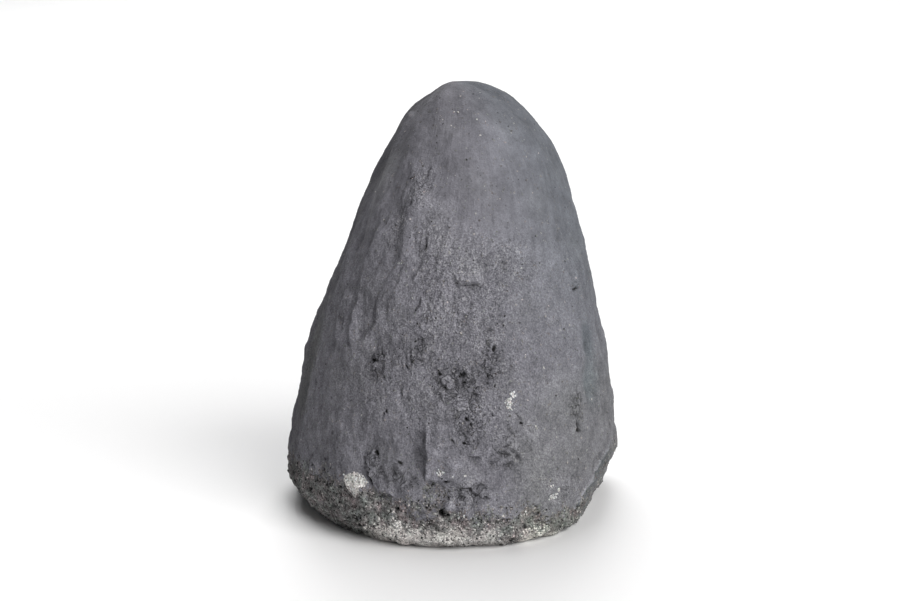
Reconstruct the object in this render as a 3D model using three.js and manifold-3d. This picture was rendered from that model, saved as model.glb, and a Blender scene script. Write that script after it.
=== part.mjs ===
// Amethyst geode: half of a bullet-shaped nodule, sawn open down its length and sawn flat at the foot, so that
// it stands by itself like a small arch.
//
// geode_stone        the stone: a rounded back under a coat of dark cement, a flat sawn face in front, and a
//                    deep hollow behind that face
// amethyst_crystals  one crust of quartz crystals grown together, which lines the hollow
//
// Millimetres, +Z up. +Y points out of the open face, -Y out of the rounded back. The stone stands on Z = 0.
// Its form is worked out round an upright axis in the plane where it is widest. Then it is moved, so that the
// origin is the middle of its bounding box, at the foot.

import * as THREE from "three";
import { mergeVertices } from "three/addons/utils/BufferGeometryUtils.js";
import Module from "manifold-3d";

const wasm = await Module();
wasm.setup();

// ---- outer form ----
const HEIGHT = 155.8;
const FACE_Y = 6; // the sawn face, in front of the widest plane
const SECTION_POWER = 2.25; // level sections are superellipses of this power
const FACE_CURL = 0.016; // how much narrower and lower the stone is at the sawn face than where it is widest

// The three outlines. Each starts as far out as reach at its belt, the level where it is widest, and closes to
// the apex as (1 - t^power)^root. Under the belt it draws in by undercut, down to the foot.
const LEFT = { reach: 66.6, belt: 11.5, power: 1.31, root: 0.63, undercut: 8 };
const RIGHT = { reach: 59, belt: 19, power: 1.5, root: 0.38, undercut: 7 };
const BACK = { reach: 83.6, belt: 4.4, power: 1.52, root: 0.535, undercut: 5.3 };
const BULK = { reach: 60, belt: 10, power: 1.5, root: 0.5, undercut: 5 }; // sawn away in front

// Broad swells and flats of the coat: [bearing, height, half width, half height, rise]. The bearing is in
// degrees round the axis, from 0 at the middle of the back to -90 at the left edge and 90 at the right edge.
const SWELLS = [
  [-88, 57, 26, 14, 1.2],
  [-88, 100, 26, 16, -1.6],
  [-88, 143, 22, 8, 1.4],
  [88, 131, 24, 10, 0.7],
  [88, 72, 26, 16, -0.9],
  [88, 16, 22, 6, 1.3],
  [54, 5, 16, 8, -1.4],
  [27, 4, 12, 9, 1.6],
  [-38, 4, 14, 9, -1.6],
  [-22, 8, 16, 10, -0.6],
];

// Ledges, dents and pits, stated as the swells are.
const MARKS = [
  [3, 94, 8, 3, 1.1], // the lip of a short ledge
  [3, 88.5, 8, 3.5, -1.3], // and the step under it
  [49, 65, 6, 5, -1.8], // two oval dents in the right flank
  [46, 48, 7, 6, -1.8],
  [10, 70, 5, 5, -2.3], // pits left by bubbles in the cement
  [17, 75, 4, 4, -1.9],
  [3, 61, 5, 4, -2.2],
  [-4, 61, 5, 6, -1.8],
  [-26, 63, 5, 6, -2.4],
  [-14, 67, 4, 4, -2],
  [-40, 48, 5, 5, -2],
  [3, 42, 7, 5, -2.2],
  [36, 37, 5, 4, -2.2],
  [14, 52, 4, 6, -1.8],
  [-8, 46, 5, 5, -1.3],
  [12, 28, 6, 5, -1.6],
  [-3, 19, 16, 5, -2.1], // a patch where the coat has broken away
  [-3, 26, 14, 2.5, 0.7],
  [-3, 15, 4, 4, 2.4], // with a pebble showing in it
  [-30, 21, 5, 4, 0.9],
  [-52, 104, 7, 16, -0.9], // long strokes where the cement was drawn down
  [-40, 112, 5, 18, 0.8],
  [-26, 118, 6, 14, -0.8],
  [-18, 96, 4, 20, 0.7],
  [50, 20, 14, 3, 0.9], // the edge of the coat round the right of the foot
  [48, 12, 12, 3.5, -1.1],
  [-55, 13, 16, 3, 1], // and round the left of it
];
const COAT_WAVE = 0.3; // low waves over the whole coat, each [per radian of bearing, per millimetre up, start]
const COAT_WAVES = [
  [4.1, 0.06, 0.6],
  [8.7, -0.11, 2.1],
  [13.3, 0.17, 4.4],
];
const FOOT_ROUGHNESS = 1.8; // bare aggregate under the belt, this uneven
const FOOT_BAND = 14; // from the foot up
const FOOT_GRAIN = 0.05; // bearing that one lump of it takes, in radians
const MARK_FADE = 12; // marks die out this near the axis, where bearings run together

// ---- hollow ----
const MOUTH_HEIGHT = 62; // the level of the mouth's middle
const MOUTH_LEFT = { reach: 47, rise: 79, power: 1.36 };
const MOUTH_RIGHT = { reach: 45, rise: 79, power: 1.8 };
const MOUTH_SILL = { drop: 45, power: 2.5 };
const MOUTH_WAVE = 0.02; // its outline ripples by this share, each ripple [turns, start]
const MOUTH_WAVES = [
  [3, 1],
  [7, 0.5],
];
const HOLLOW_DEPTH = 56;
const HOLLOW_POWER = 2.4; // its walls close in towards the bottom as a superellipse of this power

// ---- crystals ----
const CRUST_THICKNESS = 4; // the bed that the crystals stand on
const SEAT_GAP = 0.3; // between the crust and the stone, as solids
const CRYSTAL_PITCH = 11; // from one crystal to the next
const CRYSTAL_ROWS = 9;
const CRYSTAL_RADIUS = 6.6; // the smallest
const CRYSTAL_SPREAD = 3.4; // what the largest has more
const CRYSTAL_LEAN = 0.42; // most lean from the wall's normal, in radians
const CRYSTAL_SHARPNESS = 1.1; // height of the point, in radii
const CRYSTAL_LIFT = 1.5; // how far its shoulder may stand off the bed
const CRYSTAL_ROOT = 10; // its root runs on through the bed

// ---- fineness of the mesh ----
const BODY_SECTORS = 66;
const BULK_SHARE = 0.1; // of those sectors, the share in front of the sawn face
const FOOT_LEVELS = { count: 3, from: 0, to: 19 };
const FLANK_LEVELS = { count: 19, from: 19, to: 122 };
const CROWN_LEVELS = { count: 6, from: 122, to: HEIGHT };
const MOUTH_SECTORS = 36;
const HOLLOW_RINGS = 7;
const FAR = 400; // a block larger than the stone
const PAST_FACE = 5; // how far a cutting solid runs on past the face it cuts
const WELD = 1e-3; // vertices nearer than this are one

// ---- small helpers ----

const clamp01 = (value) => Math.min(1, Math.max(0, value));
const signedPower = (value, power) => Math.sign(value) * Math.abs(value) ** power;
const radians = THREE.MathUtils.degToRad;

// A repeatable number from 0 to 1 for each whole number and stream.
function chance(index, stream) {
  const wave = Math.sin(index * 12.9898 + stream * 78.233) * 43758.5453;
  return wave - Math.floor(wave);
}

// A closed geometry as a solid: only positions, with shared vertices merged and collapsed faces dropped.
function solid(geometry) {
  const bare = new THREE.BufferGeometry();
  bare.setAttribute("position", geometry.getAttribute("position"));
  bare.setIndex(geometry.index);
  const merged = mergeVertices(bare, WELD);
  const corners = merged.index.array;
  const kept = [];
  for (let i = 0; i < corners.length; i += 3) {
    const [a, b, c] = corners.slice(i, i + 3);
    if (a !== b && b !== c && c !== a) kept.push(a, b, c);
  }
  const vertProperties = merged.attributes.position.array;
  return new wasm.Manifold(new wasm.Mesh({ numProp: 3, vertProperties, triVerts: new Uint32Array(kept) }));
}

// Moves every vertex by a rule that changes the point in place.
function warp(geometry, move) {
  const positions = geometry.attributes.position;
  const point = new THREE.Vector3();
  for (let i = 0; i < positions.count; i++) {
    move(point.fromBufferAttribute(positions, i));
    positions.setXYZ(i, point.x, point.y, point.z);
  }
  return geometry;
}

// ---- the stone's outside ----

function outline(side, height) {
  const t = clamp01((height - side.belt) / (HEIGHT - side.belt));
  const drawn = (1 - clamp01(height / side.belt)) ** 1.5;
  return side.reach * (1 - t ** side.power) ** side.root - side.undercut * drawn;
}

// Sum of bell-shaped swells and marks at a bearing and height, radius millimetres from the axis.
function relief(list, bearing, height, radius) {
  let rise = 0;
  for (const [at, level, halfWidth, halfHeight, amount] of list) {
    const along = ((bearing - radians(at)) * Math.max(radius, MARK_FADE)) / halfWidth;
    const up = (height - level) / halfHeight;
    rise += amount * Math.exp(-along * along - up * up);
  }
  return rise;
}

function coatWave(bearing, height) {
  const waves = COAT_WAVES.map(([around, up, start]) => Math.sin(around * bearing + up * height + start));
  return COAT_WAVE * waves.reduce((sum, wave) => sum + wave, 0);
}

// Bare aggregate at the foot: strongest on the foot's edge, gone at the top of the band.
function footRoughness(bearing, height) {
  const grain = Math.round(bearing / FOOT_GRAIN);
  return FOOT_ROUGHNESS * clamp01(1 - height / FOOT_BAND) * (chance(grain, height) - 0.5);
}

// Point of the outside. around is the angle in the level section: 0 at the right edge, PI at the left edge,
// 1.5 PI at the middle of the back, and from 0 to PI through the bulk that is sawn away.
function outsidePoint(around, height) {
  const side = signedPower(Math.cos(around), 2 / SECTION_POWER);
  const back = signedPower(Math.sin(around), 2 / SECTION_POWER);
  const x = side * outline(side > 0 ? RIGHT : LEFT, height);
  const y = back * outline(back > 0 ? BULK : BACK, height);
  const radius = Math.hypot(x, y);
  const bearing = Math.atan2(x, -y);
  const fade = clamp01(radius / MARK_FADE);
  const rise = relief(SWELLS, bearing, height, radius) + relief(MARKS, bearing, height, radius);
  const out = 1 + (fade * (rise + coatWave(bearing, height)) + footRoughness(bearing, height)) / radius;
  return new THREE.Vector3(x * out, y * out, height);
}

// Narrows and lowers what lies in front of the widest plane, so that the coat rolls over to the sawn face.
function curlToFace(point) {
  const curl = 1 - FACE_CURL * clamp01(point.y / FACE_Y) ** 2;
  point.x *= curl;
  point.z *= curl;
}

// The turn of a lathe's sector, spread so that most of the sectors fall on the back.
function bodyAngle(x, z) {
  const turn = (Math.atan2(x, z) / (2 * Math.PI) + 1) % 1;
  const inBulk = turn / BULK_SHARE;
  const inBack = (turn - BULK_SHARE) / (1 - BULK_SHARE);
  return Math.PI * (turn < BULK_SHARE ? inBulk : 1 + inBack);
}

// Heights of one band of levels, without its last. A share bent by the curve says how far up each one lies.
function levelHeights({ count, from, to }, curve = (share) => share) {
  return Array.from({ length: count }, (_, level) => from + (to - from) * curve(level / count));
}

// A lathe of radius 1, whose rows are the levels of the stone, bent into its sections.
function bodySolid() {
  const heights = [
    ...levelHeights(FOOT_LEVELS),
    ...levelHeights(FLANK_LEVELS),
    ...levelHeights(CROWN_LEVELS, (share) => Math.sin((share * Math.PI) / 2)),
  ];
  const profile = [new THREE.Vector2(0, 0), ...heights.map((height) => new THREE.Vector2(1, height))];
  profile.push(new THREE.Vector2(0, HEIGHT));
  const bent = warp(new THREE.LatheGeometry(profile, BODY_SECTORS), (point) => {
    const onAxis = Math.hypot(point.x, point.z) < 0.5;
    const height = point.y;
    if (onAxis) point.set(0, 0, height);
    else point.copy(outsidePoint(bodyAngle(point.x, point.z), height));
    curlToFace(point);
  });
  return solid(bent);
}

// ---- the hollow ----

// Point of the mouth's outline from its middle, as X and Z.
function mouthPoint(around) {
  const flank = Math.cos(around) > 0 ? MOUTH_RIGHT : MOUTH_LEFT;
  const above = Math.sin(around) > 0;
  const power = 2 / (above ? flank.power : MOUTH_SILL.power);
  const wave = MOUTH_WAVES.reduce((sum, [turns, start]) => sum + Math.sin(turns * around + start), 0);
  return new THREE.Vector2(
    flank.reach * signedPower(Math.cos(around), power),
    (above ? flank.rise : MOUTH_SILL.drop) * signedPower(Math.sin(around), power),
  ).multiplyScalar(1 + MOUTH_WAVE * wave);
}

// Point of the hollow's wall, drawn in by inset. deep runs from 0 at the mouth to 1 at the bottom.
function hollowPoint(around, deep, inset) {
  const mouth = mouthPoint(around);
  const narrowing = (1 - deep ** HOLLOW_POWER) ** (1 / HOLLOW_POWER);
  mouth.setLength((mouth.length() - inset) * narrowing);
  return new THREE.Vector3(mouth.x, FACE_Y - (HOLLOW_DEPTH - inset) * deep, MOUTH_HEIGHT + mouth.y);
}

// The space inside the hollow's wall, drawn in by inset and carried on past the sawn face.
function hollowSolid(inset, past) {
  const profile = [new THREE.Vector2(0, -past), new THREE.Vector2(1, -past)];
  for (let ring = 0; ring < HOLLOW_RINGS; ring++) {
    profile.push(new THREE.Vector2(1, Math.sin((ring / HOLLOW_RINGS) * (Math.PI / 2))));
  }
  profile.push(new THREE.Vector2(0, 1));
  const bent = warp(new THREE.LatheGeometry(profile, MOUTH_SECTORS), (point) => {
    const onAxis = Math.hypot(point.x, point.z) < 0.5;
    const ahead = Math.max(0, -point.y);
    const wall = hollowPoint(Math.atan2(point.x, point.z), Math.max(0, point.y), inset);
    if (onAxis) wall.setX(0).setZ(MOUTH_HEIGHT);
    point.copy(wall);
    point.y += ahead;
  });
  return solid(bent);
}

// ---- the crystals ----

// A quartz point: a six-sided prism under a six-sided point. Its shoulder is at Z = 0 and its tip up +Z.
function crystalGeometry(radius, root) {
  const profile = [
    new THREE.Vector2(0, -root),
    new THREE.Vector2(radius, -root),
    new THREE.Vector2(radius, 0),
    new THREE.Vector2(0, radius * CRYSTAL_SHARPNESS),
  ];
  return new THREE.LatheGeometry(profile, 6).rotateX(Math.PI / 2);
}

// Normal of the crust's bed, into the hollow.
function bedNormal(around, deep) {
  const step = 0.02; // a little way along the bed, in radians and in depth
  const here = hollowPoint(around, deep, CRUST_THICKNESS);
  const aside = hollowPoint(around + step, deep, CRUST_THICKNESS).sub(here);
  const shallower = hollowPoint(around, deep - step, CRUST_THICKNESS).sub(here);
  return aside.cross(shallower).normalize();
}

// Crystal number index, seated on the bed with its own size, lean and turn.
function crystalSolid(index, around, deep) {
  const radius = CRYSTAL_RADIUS + CRYSTAL_SPREAD * chance(index, 1) ** 2;
  const lift = CRYSTAL_LIFT * (chance(index, 2) - 0.3);
  const normal = bedNormal(around, deep);
  const heading = 2 * Math.PI * chance(index, 3);
  const sideways = new THREE.Vector3(Math.cos(heading), Math.sin(heading), 0);
  const turn = new THREE.Quaternion()
    .setFromUnitVectors(new THREE.Vector3(0, 0, 1), normal)
    .multiply(new THREE.Quaternion().setFromAxisAngle(sideways, CRYSTAL_LEAN * chance(index, 4)));
  const geometry = crystalGeometry(radius, lift + CRYSTAL_ROOT)
    .rotateZ((Math.PI / 3) * chance(index, 5))
    .applyQuaternion(turn);
  const seat = hollowPoint(around, deep, CRUST_THICKNESS).addScaledVector(normal, lift);
  return solid(geometry.translate(seat.x, seat.y, seat.z));
}

// Rows of crystals from the mouth down to the bottom of the hollow, each row set off from the last.
function crystalSolids() {
  const solids = [];
  for (let row = 0; row < CRYSTAL_ROWS; row++) {
    const along = ((row + 0.5) / CRYSTAL_ROWS) * (Math.PI / 2);
    const deep = Math.sin(along) ** (2 / HOLLOW_POWER);
    const narrowing = Math.cos(along) ** (2 / HOLLOW_POWER);
    const girth = Math.PI * (MOUTH_LEFT.reach + (MOUTH_LEFT.rise + MOUTH_SILL.drop) / 2) * narrowing;
    const count = Math.max(3, Math.round(girth / CRYSTAL_PITCH));
    for (let place = 0; place < count; place++) {
      const index = solids.length;
      const stray = (chance(index, 6) - 0.5) * 0.5;
      solids.push(crystalSolid(index, ((place + stray + row / 2) / count) * 2 * Math.PI, deep));
    }
  }
  return solids;
}

// ---- the two pieces ----

const inFront = solid(new THREE.BoxGeometry(FAR, FAR, FAR).translate(0, FACE_Y + FAR / 2, 0));

function stoneSolid() {
  return bodySolid().subtract(inFront).subtract(hollowSolid(-SEAT_GAP, PAST_FACE));
}

// The crust is the lined hollow less its free space. Pockets that crystals seal off from that space are filled.
function crustSolid() {
  const overBed = hollowSolid(CRUST_THICKNESS, 2 * PAST_FACE);
  const pockets = crystalSolids().reduce((space, crystal) => space.subtract(crystal), overBed).decompose();
  const free = pockets.reduce((largest, pocket) => (pocket.volume() > largest.volume() ? pocket : largest));
  return hollowSolid(0, PAST_FACE).subtract(inFront).subtract(free);
}

function piece(name, whole, material) {
  const { vertProperties, triVerts } = whole.getMesh();
  const indexed = new THREE.BufferGeometry();
  indexed.setAttribute("position", new THREE.BufferAttribute(vertProperties, 3));
  indexed.setIndex(new THREE.BufferAttribute(triVerts, 1));
  const faceted = indexed.toNonIndexed();
  faceted.computeVertexNormals();
  const mesh = new THREE.Mesh(faceted, material);
  mesh.name = name;
  return mesh;
}

const coatedStone = new THREE.MeshStandardMaterial({ color: 0x6f6f74, roughness: 0.92, metalness: 0 });
const amethyst = new THREE.MeshStandardMaterial({ color: 0x6a3fa0, roughness: 0.12, metalness: 0 });

const geode = new THREE.Group();
geode.add(piece("geode_stone", stoneSolid(), coatedStone));
geode.add(piece("amethyst_crystals", crustSolid(), amethyst));

const middle = new THREE.Box3().setFromObject(geode).getCenter(new THREE.Vector3());
for (const mesh of geode.children) mesh.position.set(-middle.x, -middle.y, 0);

export default geode;
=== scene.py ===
import math

import bpy
import numpy as np
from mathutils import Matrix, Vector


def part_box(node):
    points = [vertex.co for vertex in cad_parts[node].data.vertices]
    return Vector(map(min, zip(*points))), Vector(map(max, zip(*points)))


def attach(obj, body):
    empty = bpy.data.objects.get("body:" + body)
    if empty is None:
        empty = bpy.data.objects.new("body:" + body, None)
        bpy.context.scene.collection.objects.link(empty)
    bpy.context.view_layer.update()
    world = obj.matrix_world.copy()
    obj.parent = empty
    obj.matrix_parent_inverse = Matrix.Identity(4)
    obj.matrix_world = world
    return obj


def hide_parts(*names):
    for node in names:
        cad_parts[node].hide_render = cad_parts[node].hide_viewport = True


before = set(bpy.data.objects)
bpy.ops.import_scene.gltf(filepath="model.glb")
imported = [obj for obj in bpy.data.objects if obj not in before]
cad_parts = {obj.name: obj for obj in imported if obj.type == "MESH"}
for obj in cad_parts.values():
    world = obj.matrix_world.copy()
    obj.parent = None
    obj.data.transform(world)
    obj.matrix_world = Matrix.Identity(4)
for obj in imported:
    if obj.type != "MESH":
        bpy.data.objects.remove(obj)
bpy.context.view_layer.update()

# ---------------------------------------------------------------------------------------------------------
# The stone: half of a bullet-shaped basalt nodule, sawn open down its length and sawn flat at the foot.
# Its back is plastered by hand with dark cement. The plaster stops a finger's width above the foot, where
# bare aggregate shows. The sawn face is polished, and shows the agate rind round the hollow's mouth.

# Everything is worked out in millimetres round an upright axis where the stone is widest, with +Y out of
# the open face, and moved into the frame at the end.
HEIGHT = 155.8
FACE_Y = 6.0  # the sawn face, in front of the widest plane
SECTION_POWER = 2.25  # level sections are superellipses of this power
FACE_CURL = 0.016  # how much narrower and lower the stone is at the sawn face
AXIS_RIGHT = 3.138  # the axis stands this far to the right of the middle of the box
LEFT = {"reach": 66.6, "belt": 11.5, "power": 1.31, "root": 0.63, "undercut": 8.0}
RIGHT = {"reach": 59.0, "belt": 19.0, "power": 1.5, "root": 0.38, "undercut": 7.0}
BACK = {"reach": 83.6, "belt": 4.4, "power": 1.52, "root": 0.535, "undercut": 5.3}
BULK = {"reach": 60.0, "belt": 10.0, "power": 1.5, "root": 0.5, "undercut": 5.0}

stone_low, stone_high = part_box("geode_stone")
AXIS_PLACE = np.array([AXIS_RIGHT, stone_high.y * 1000 - FACE_Y, 0.0])
BOX_LOW = np.array(stone_low) * 1000 - AXIS_PLACE
BOX_HIGH = np.array(stone_high) * 1000 - AXIS_PLACE

BACK_COLUMNS = 360  # of the skin, from the right edge round the back to the left edge
ROLL_COLUMNS = 5  # over the roll from the widest plane to the sawn face, on either side
SKIN_ROWS = 250  # from the foot to the apex
FOOT_LINE = 70  # points along the foot of the sawn face
ROUGH_LEVEL = 60.0  # rows are closer together under this height, where the surface is roughest
GIRTH_LEVEL = 40.0  # back columns are spaced evenly along the section at this height
FINE_STEPS = 4000  # for lengths measured along a curve
NOISE_GAIN = 1.7  # brings the noise to about -1 to 1
AXIS_ROOM = 12.0  # marks die out this near the axis, where bearings run together


def smooth(share):
    """Soft step: 0 below 0, 1 above 1, and 3t^2 - 2t^3 between."""
    share = np.clip(share, 0, 1)
    return share * share * (3 - 2 * share)


def chance(cells, stream):
    """Repeatable number from 0 to 1 for each whole-number cell: its three indices times large primes are
    added up, and the sum's bits are mixed by shifts and products."""
    mixed = cells.astype(np.int64) @ np.array([73856093, 19349663, 83492791]) + stream * 2654435761
    mixed = mixed.astype(np.uint64) & np.uint64(0xFFFFFFFF)
    for shift, factor in ((15, 2246822519), (13, 3266489917), (16, 668265263)):
        mixed = (mixed ^ (mixed >> np.uint64(shift))) * np.uint64(factor) & np.uint64(0xFFFFFFFF)
    return (mixed ^ (mixed >> np.uint64(14))) / 4294967296.0


def noise(points, size, stream):
    """Gradient noise from about -1 to 1: every corner of a lattice of cells of the given size has a random
    slope, and the eight slopes' heights at a point are blended by the fade 6t^5 - 15t^4 + 10t^3."""
    scaled = points / np.asarray(size, float)
    cell = np.floor(scaled)
    share = scaled - cell
    fade = share**3 * (share * (share * 6 - 15) + 10)
    total = np.zeros(points.shape[:-1])
    for corner in np.ndindex(2, 2, 2):
        slope = np.stack([chance(cell + corner, 3 * stream + axis) for axis in range(3)], -1) * 2 - 1
        weight = np.prod(np.where(corner, fade, 1 - fade), -1)
        total += weight * ((share - corner) * slope).sum(-1)
    return NOISE_GAIN * total


def layered(points, size, stream, layers):
    """Sum of noises, each half the size and half the strength of the last."""
    return sum(noise(points, np.asarray(size) / 2**n, stream + 7 * n) / 2**n for n in range(layers))


def noises(points, layers):
    """Sum of noises, each stated as [size in millimetres, strength, stream]."""
    return sum(strength * noise(points, size, stream) for size, strength, stream in layers)


def outline(side, height):
    """How far out the stone reaches: reach (1 - t^power)^root above its belt, with t from 0 at the belt to 1
    at the apex, less undercut (1 - height / belt)^1.5 under the belt."""
    t = np.clip((height - side["belt"]) / (HEIGHT - side["belt"]), 0, 1)
    drawn = np.clip(1 - height / side["belt"], 0, 1) ** 1.5
    return side["reach"] * (1 - t ** side["power"]) ** side["root"] - side["undercut"] * drawn


def signed_power(value, power):
    """Sign of the value times its size to the power."""
    return np.sign(value) * np.abs(value) ** power


def even_steps(walked, count):
    """Places, as shares of an array's length, that cut a walked distance into equal parts."""
    return np.interp(np.linspace(0, walked[-1], count), walked, np.linspace(0, 1, len(walked)))


def skin_heights():
    """Heights of the skin's rows: equal steps along the mean of the back's and the two sides' outlines, made
    a third finer under the rough level."""
    fine = HEIGHT * np.sin(np.linspace(0, np.pi / 2, FINE_STEPS))
    run = sum(np.hypot(np.diff(outline(side, fine)), np.diff(fine)) for side in (LEFT, RIGHT, BACK))
    run *= np.where(fine[1:] < ROUGH_LEVEL, 1.3, 1.0)
    walked = np.concatenate([[0], np.cumsum(run)])
    return HEIGHT * np.sin(np.pi / 2 * even_steps(walked, SKIN_ROWS + 1))


def back_angles():
    """Angles in the level section, from the right edge round the back to the left edge, at equal steps along
    the section at the girth level, made finer over the back than at the two sides."""
    fine = np.linspace(2 * np.pi, np.pi, FINE_STEPS)
    across = signed_power(np.cos(fine), 2 / SECTION_POWER)
    x = across * np.where(across > 0, outline(RIGHT, GIRTH_LEVEL), outline(LEFT, GIRTH_LEVEL))
    y = signed_power(np.sin(fine), 2 / SECTION_POWER) * outline(BACK, GIRTH_LEVEL)
    over_back = np.abs(x[1:]) < 0.9 * outline(RIGHT, GIRTH_LEVEL)
    run = np.hypot(np.diff(x), np.diff(y)) * np.where(over_back, 1.25, 0.8)
    walked = np.concatenate([[0], np.cumsum(run)])
    return 2 * np.pi - np.pi * even_steps(walked, BACK_COLUMNS + 1)


def plain_skin():
    """Grid of points, foot to apex by right to left. Back columns are superellipse sections between the
    right, left and back outlines. Roll columns carry the two sides on from the widest plane to the sawn
    face: at depth y they are lowered to the height where the bulk in front is y thick, and lie on the same
    sections."""
    height = skin_heights()[:, None]
    around = back_angles()[None, :]
    across = signed_power(np.cos(around), 2 / SECTION_POWER)
    x = across * np.where(across > 0, outline(RIGHT, height), outline(LEFT, height))
    y = signed_power(np.sin(around), 2 / SECTION_POWER) * outline(BACK, height)
    back = np.stack([x, y, height + 0 * x], -1)
    depth = FACE_Y * np.linspace(1 / ROLL_COLUMNS, 1, ROLL_COLUMNS)[None, :]
    t = (1 - (depth / BULK["reach"]) ** (1 / BULK["root"])) ** (1 / BULK["power"])
    top = BULK["belt"] + (HEIGHT - BULK["belt"]) * t
    level = height * top / HEIGHT
    thin = np.clip(depth / np.maximum(outline(BULK, level), depth), 0, 1)
    thin[-1] = 1
    out = (1 - thin**SECTION_POWER) ** (1 / SECTION_POWER)
    curl = 1 - FACE_CURL * (depth / FACE_Y) ** 2
    roll = [np.stack([out * outline(side, level) * curl * sign, depth + 0 * level, level * curl], -1)
            for side, sign in ((RIGHT, 1), (LEFT, -1))]
    return np.concatenate([roll[0][:, ::-1], back, roll[1]], 1)


def grid_normals(grid):
    """Outward normals of the skin's grid, from the differences between its neighbours. The apex, where all
    columns meet, takes the normal straight up."""
    normals = np.cross(np.gradient(grid, axis=0), np.gradient(grid, axis=1))
    normals /= np.maximum(np.linalg.norm(normals, axis=-1, keepdims=True), 1e-12)
    normals[-1] = (0, 0, 1)
    middle = grid.shape[1] // 2
    normals[:-1] *= np.sign((normals[:, middle] * grid[:, middle]).sum())
    return normals


skin = plain_skin()
skin_normal = grid_normals(skin)
RADIUS = np.hypot(skin[..., 0], skin[..., 1])
BEARING = np.degrees(np.arctan2(skin[..., 0], -skin[..., 1]))  # 0 at the back's middle, 90 at the right edge
LEVEL = skin[..., 2]
ARC = np.maximum(RADIUS, AXIS_ROOM)
BEARING[-1] = BEARING[-2]
NEAR_AXIS = smooth((RADIUS - 6.0) / 10.0)
across = np.radians(BEARING) * ARC  # distance round the stone from the middle of its back

# Broad swells and flats of the plaster: [bearing, height, half width, half height, rise], in degrees and mm.
SWELLS = [
    [-88, 57, 26, 14, 1.2], [-88, 100, 26, 16, -1.6], [-88, 143, 22, 8, 1.4], [88, 131, 24, 10, 0.7],
    [88, 72, 26, 16, -0.9], [88, 16, 22, 6, 1.3], [54, 5, 16, 8, -1.4], [27, 4, 12, 9, 1.6],
    [-38, 4, 14, 9, -1.6], [-22, 8, 16, 10, -0.6],
]
# Soft dents and humps, as above.
DENTS = [
    [49, 65, 5, 5.5, -1.9], [47, 50, 6, 7, -1.7], [3, 61, 9, 6, -1.0], [-26, 64, 4, 6, -0.8],
    [-52, 104, 6, 16, -0.7], [-40, 112, 5, 18, 0.7], [-18, 96, 4, 20, 0.5], [20, 100, 9, 12, 0.3],
    [-30, 21, 4.5, 3.5, 0.5], [28, 70, 8, 20, 0.3], [52, 17, 5, 5, -0.9], [42, 9, 5, 4, -0.7],
    [-3.4, 16, 1.8, 1.67, 2], [-14, 22.9, 1.49, 2.38, 0.7], [-13.4, 19, 1.81, 3.33, 0.7],
    [-11.8, 16, 1.11, 0.87, 1], [-11.9, 14, 0.93, 0.8, 0.7], [4.6, 16, 1.8, 1.83, 1],
    [-17.1, 24.3, 1.09, 0.48, 0.6], [27, 6, 2.19, 0.87, 1], [27.4, 8, 3.22, 0.8, 0.8],
    [-25.6, 62.8, 0.48, 0.72, 1], [-59.3, 143.7, 3.85, 0.88, 0.5], [-27.4, 108.4, 2.66, 4.33, 0.6],
    [-23.9, 118.8, 2.74, 2.94, 0.6], [-9.2, 19, 3.15, 2, 0.5], [-2.6, 26.4, 1.23, 0.43, 0.5],
    [14.3, 52.5, 1.15, 1.38, 0.4], [-13.4, 66.8, 0.56, 0.72, 0.6], [12.2, 28.6, 0.93, 0.47, 0.5],
    [22.2, 5, 4.68, 1, 0.4], [16.2, 49.7, 2.3, 1.39, 0.3], [-32.8, 33.5, 4.3, 2.84, 0.5],
    [-38, 39.2, 4.92, 3.29, 0.4], [-15.9, 42.7, 3.3, 6.56, -0.5], [-5.7, 51.1, 2.67, 2.08, 0.5],
    [-7.9, 62.1, 2.42, 4.52, -0.5], [-0.9, 67.5, 2.74, 2, 0.5], [3.2, 72.8, 2.99, 1.1, 0.35],
    [12.2, 51.8, 3.51, 2.77, -0.35], [21.5, 39.9, 5.57, 2.82, 0.4], [29.3, 49, 6.64, 3.25, -0.4],
    [38.1, 60.7, 6.75, 2.72, 0.4], [21.8, 74.1, 4.22, 5.23, -0.3], [-24.6, 74.8, 4.62, 3.48, 0.5],
    [-27.3, 56, 5.41, 2.07, 0.5], [-33.9, 58.7, 3.64, 3.19, -0.45], [-17.5, 53.9, 2.73, 2.07, 0.5],
    [-12.5, 45.5, 2.5, 1.63, -0.7], [-11, 34.2, 2.65, 3.78, -1.5], [-12.2, 39.2, 2.29, 3.3, -0.6],
    [-5.1, 39.2, 2.22, 4.24, 0.5], [-3.3, 32.1, 2.06, 2.37, 0.5], [6.3, 44.1, 2.97, 2.81, 0.5],
    [11.8, 43.4, 2.39, 2.81, -0.4], [6, 37.1, 1.44, 0.94, -0.6], [9.5, 25, 3.32, 2.85, 0.3],
    [15, 27.8, 3.2, 2.37, -0.3], [-51.2, 94.2, 6.45, 5.58, 0.4], [-27.8, 99.5, 2.91, 2.7, 0.5],
    [-42.5, 107.4, 4.81, 2.18, 0.3],
]
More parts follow.
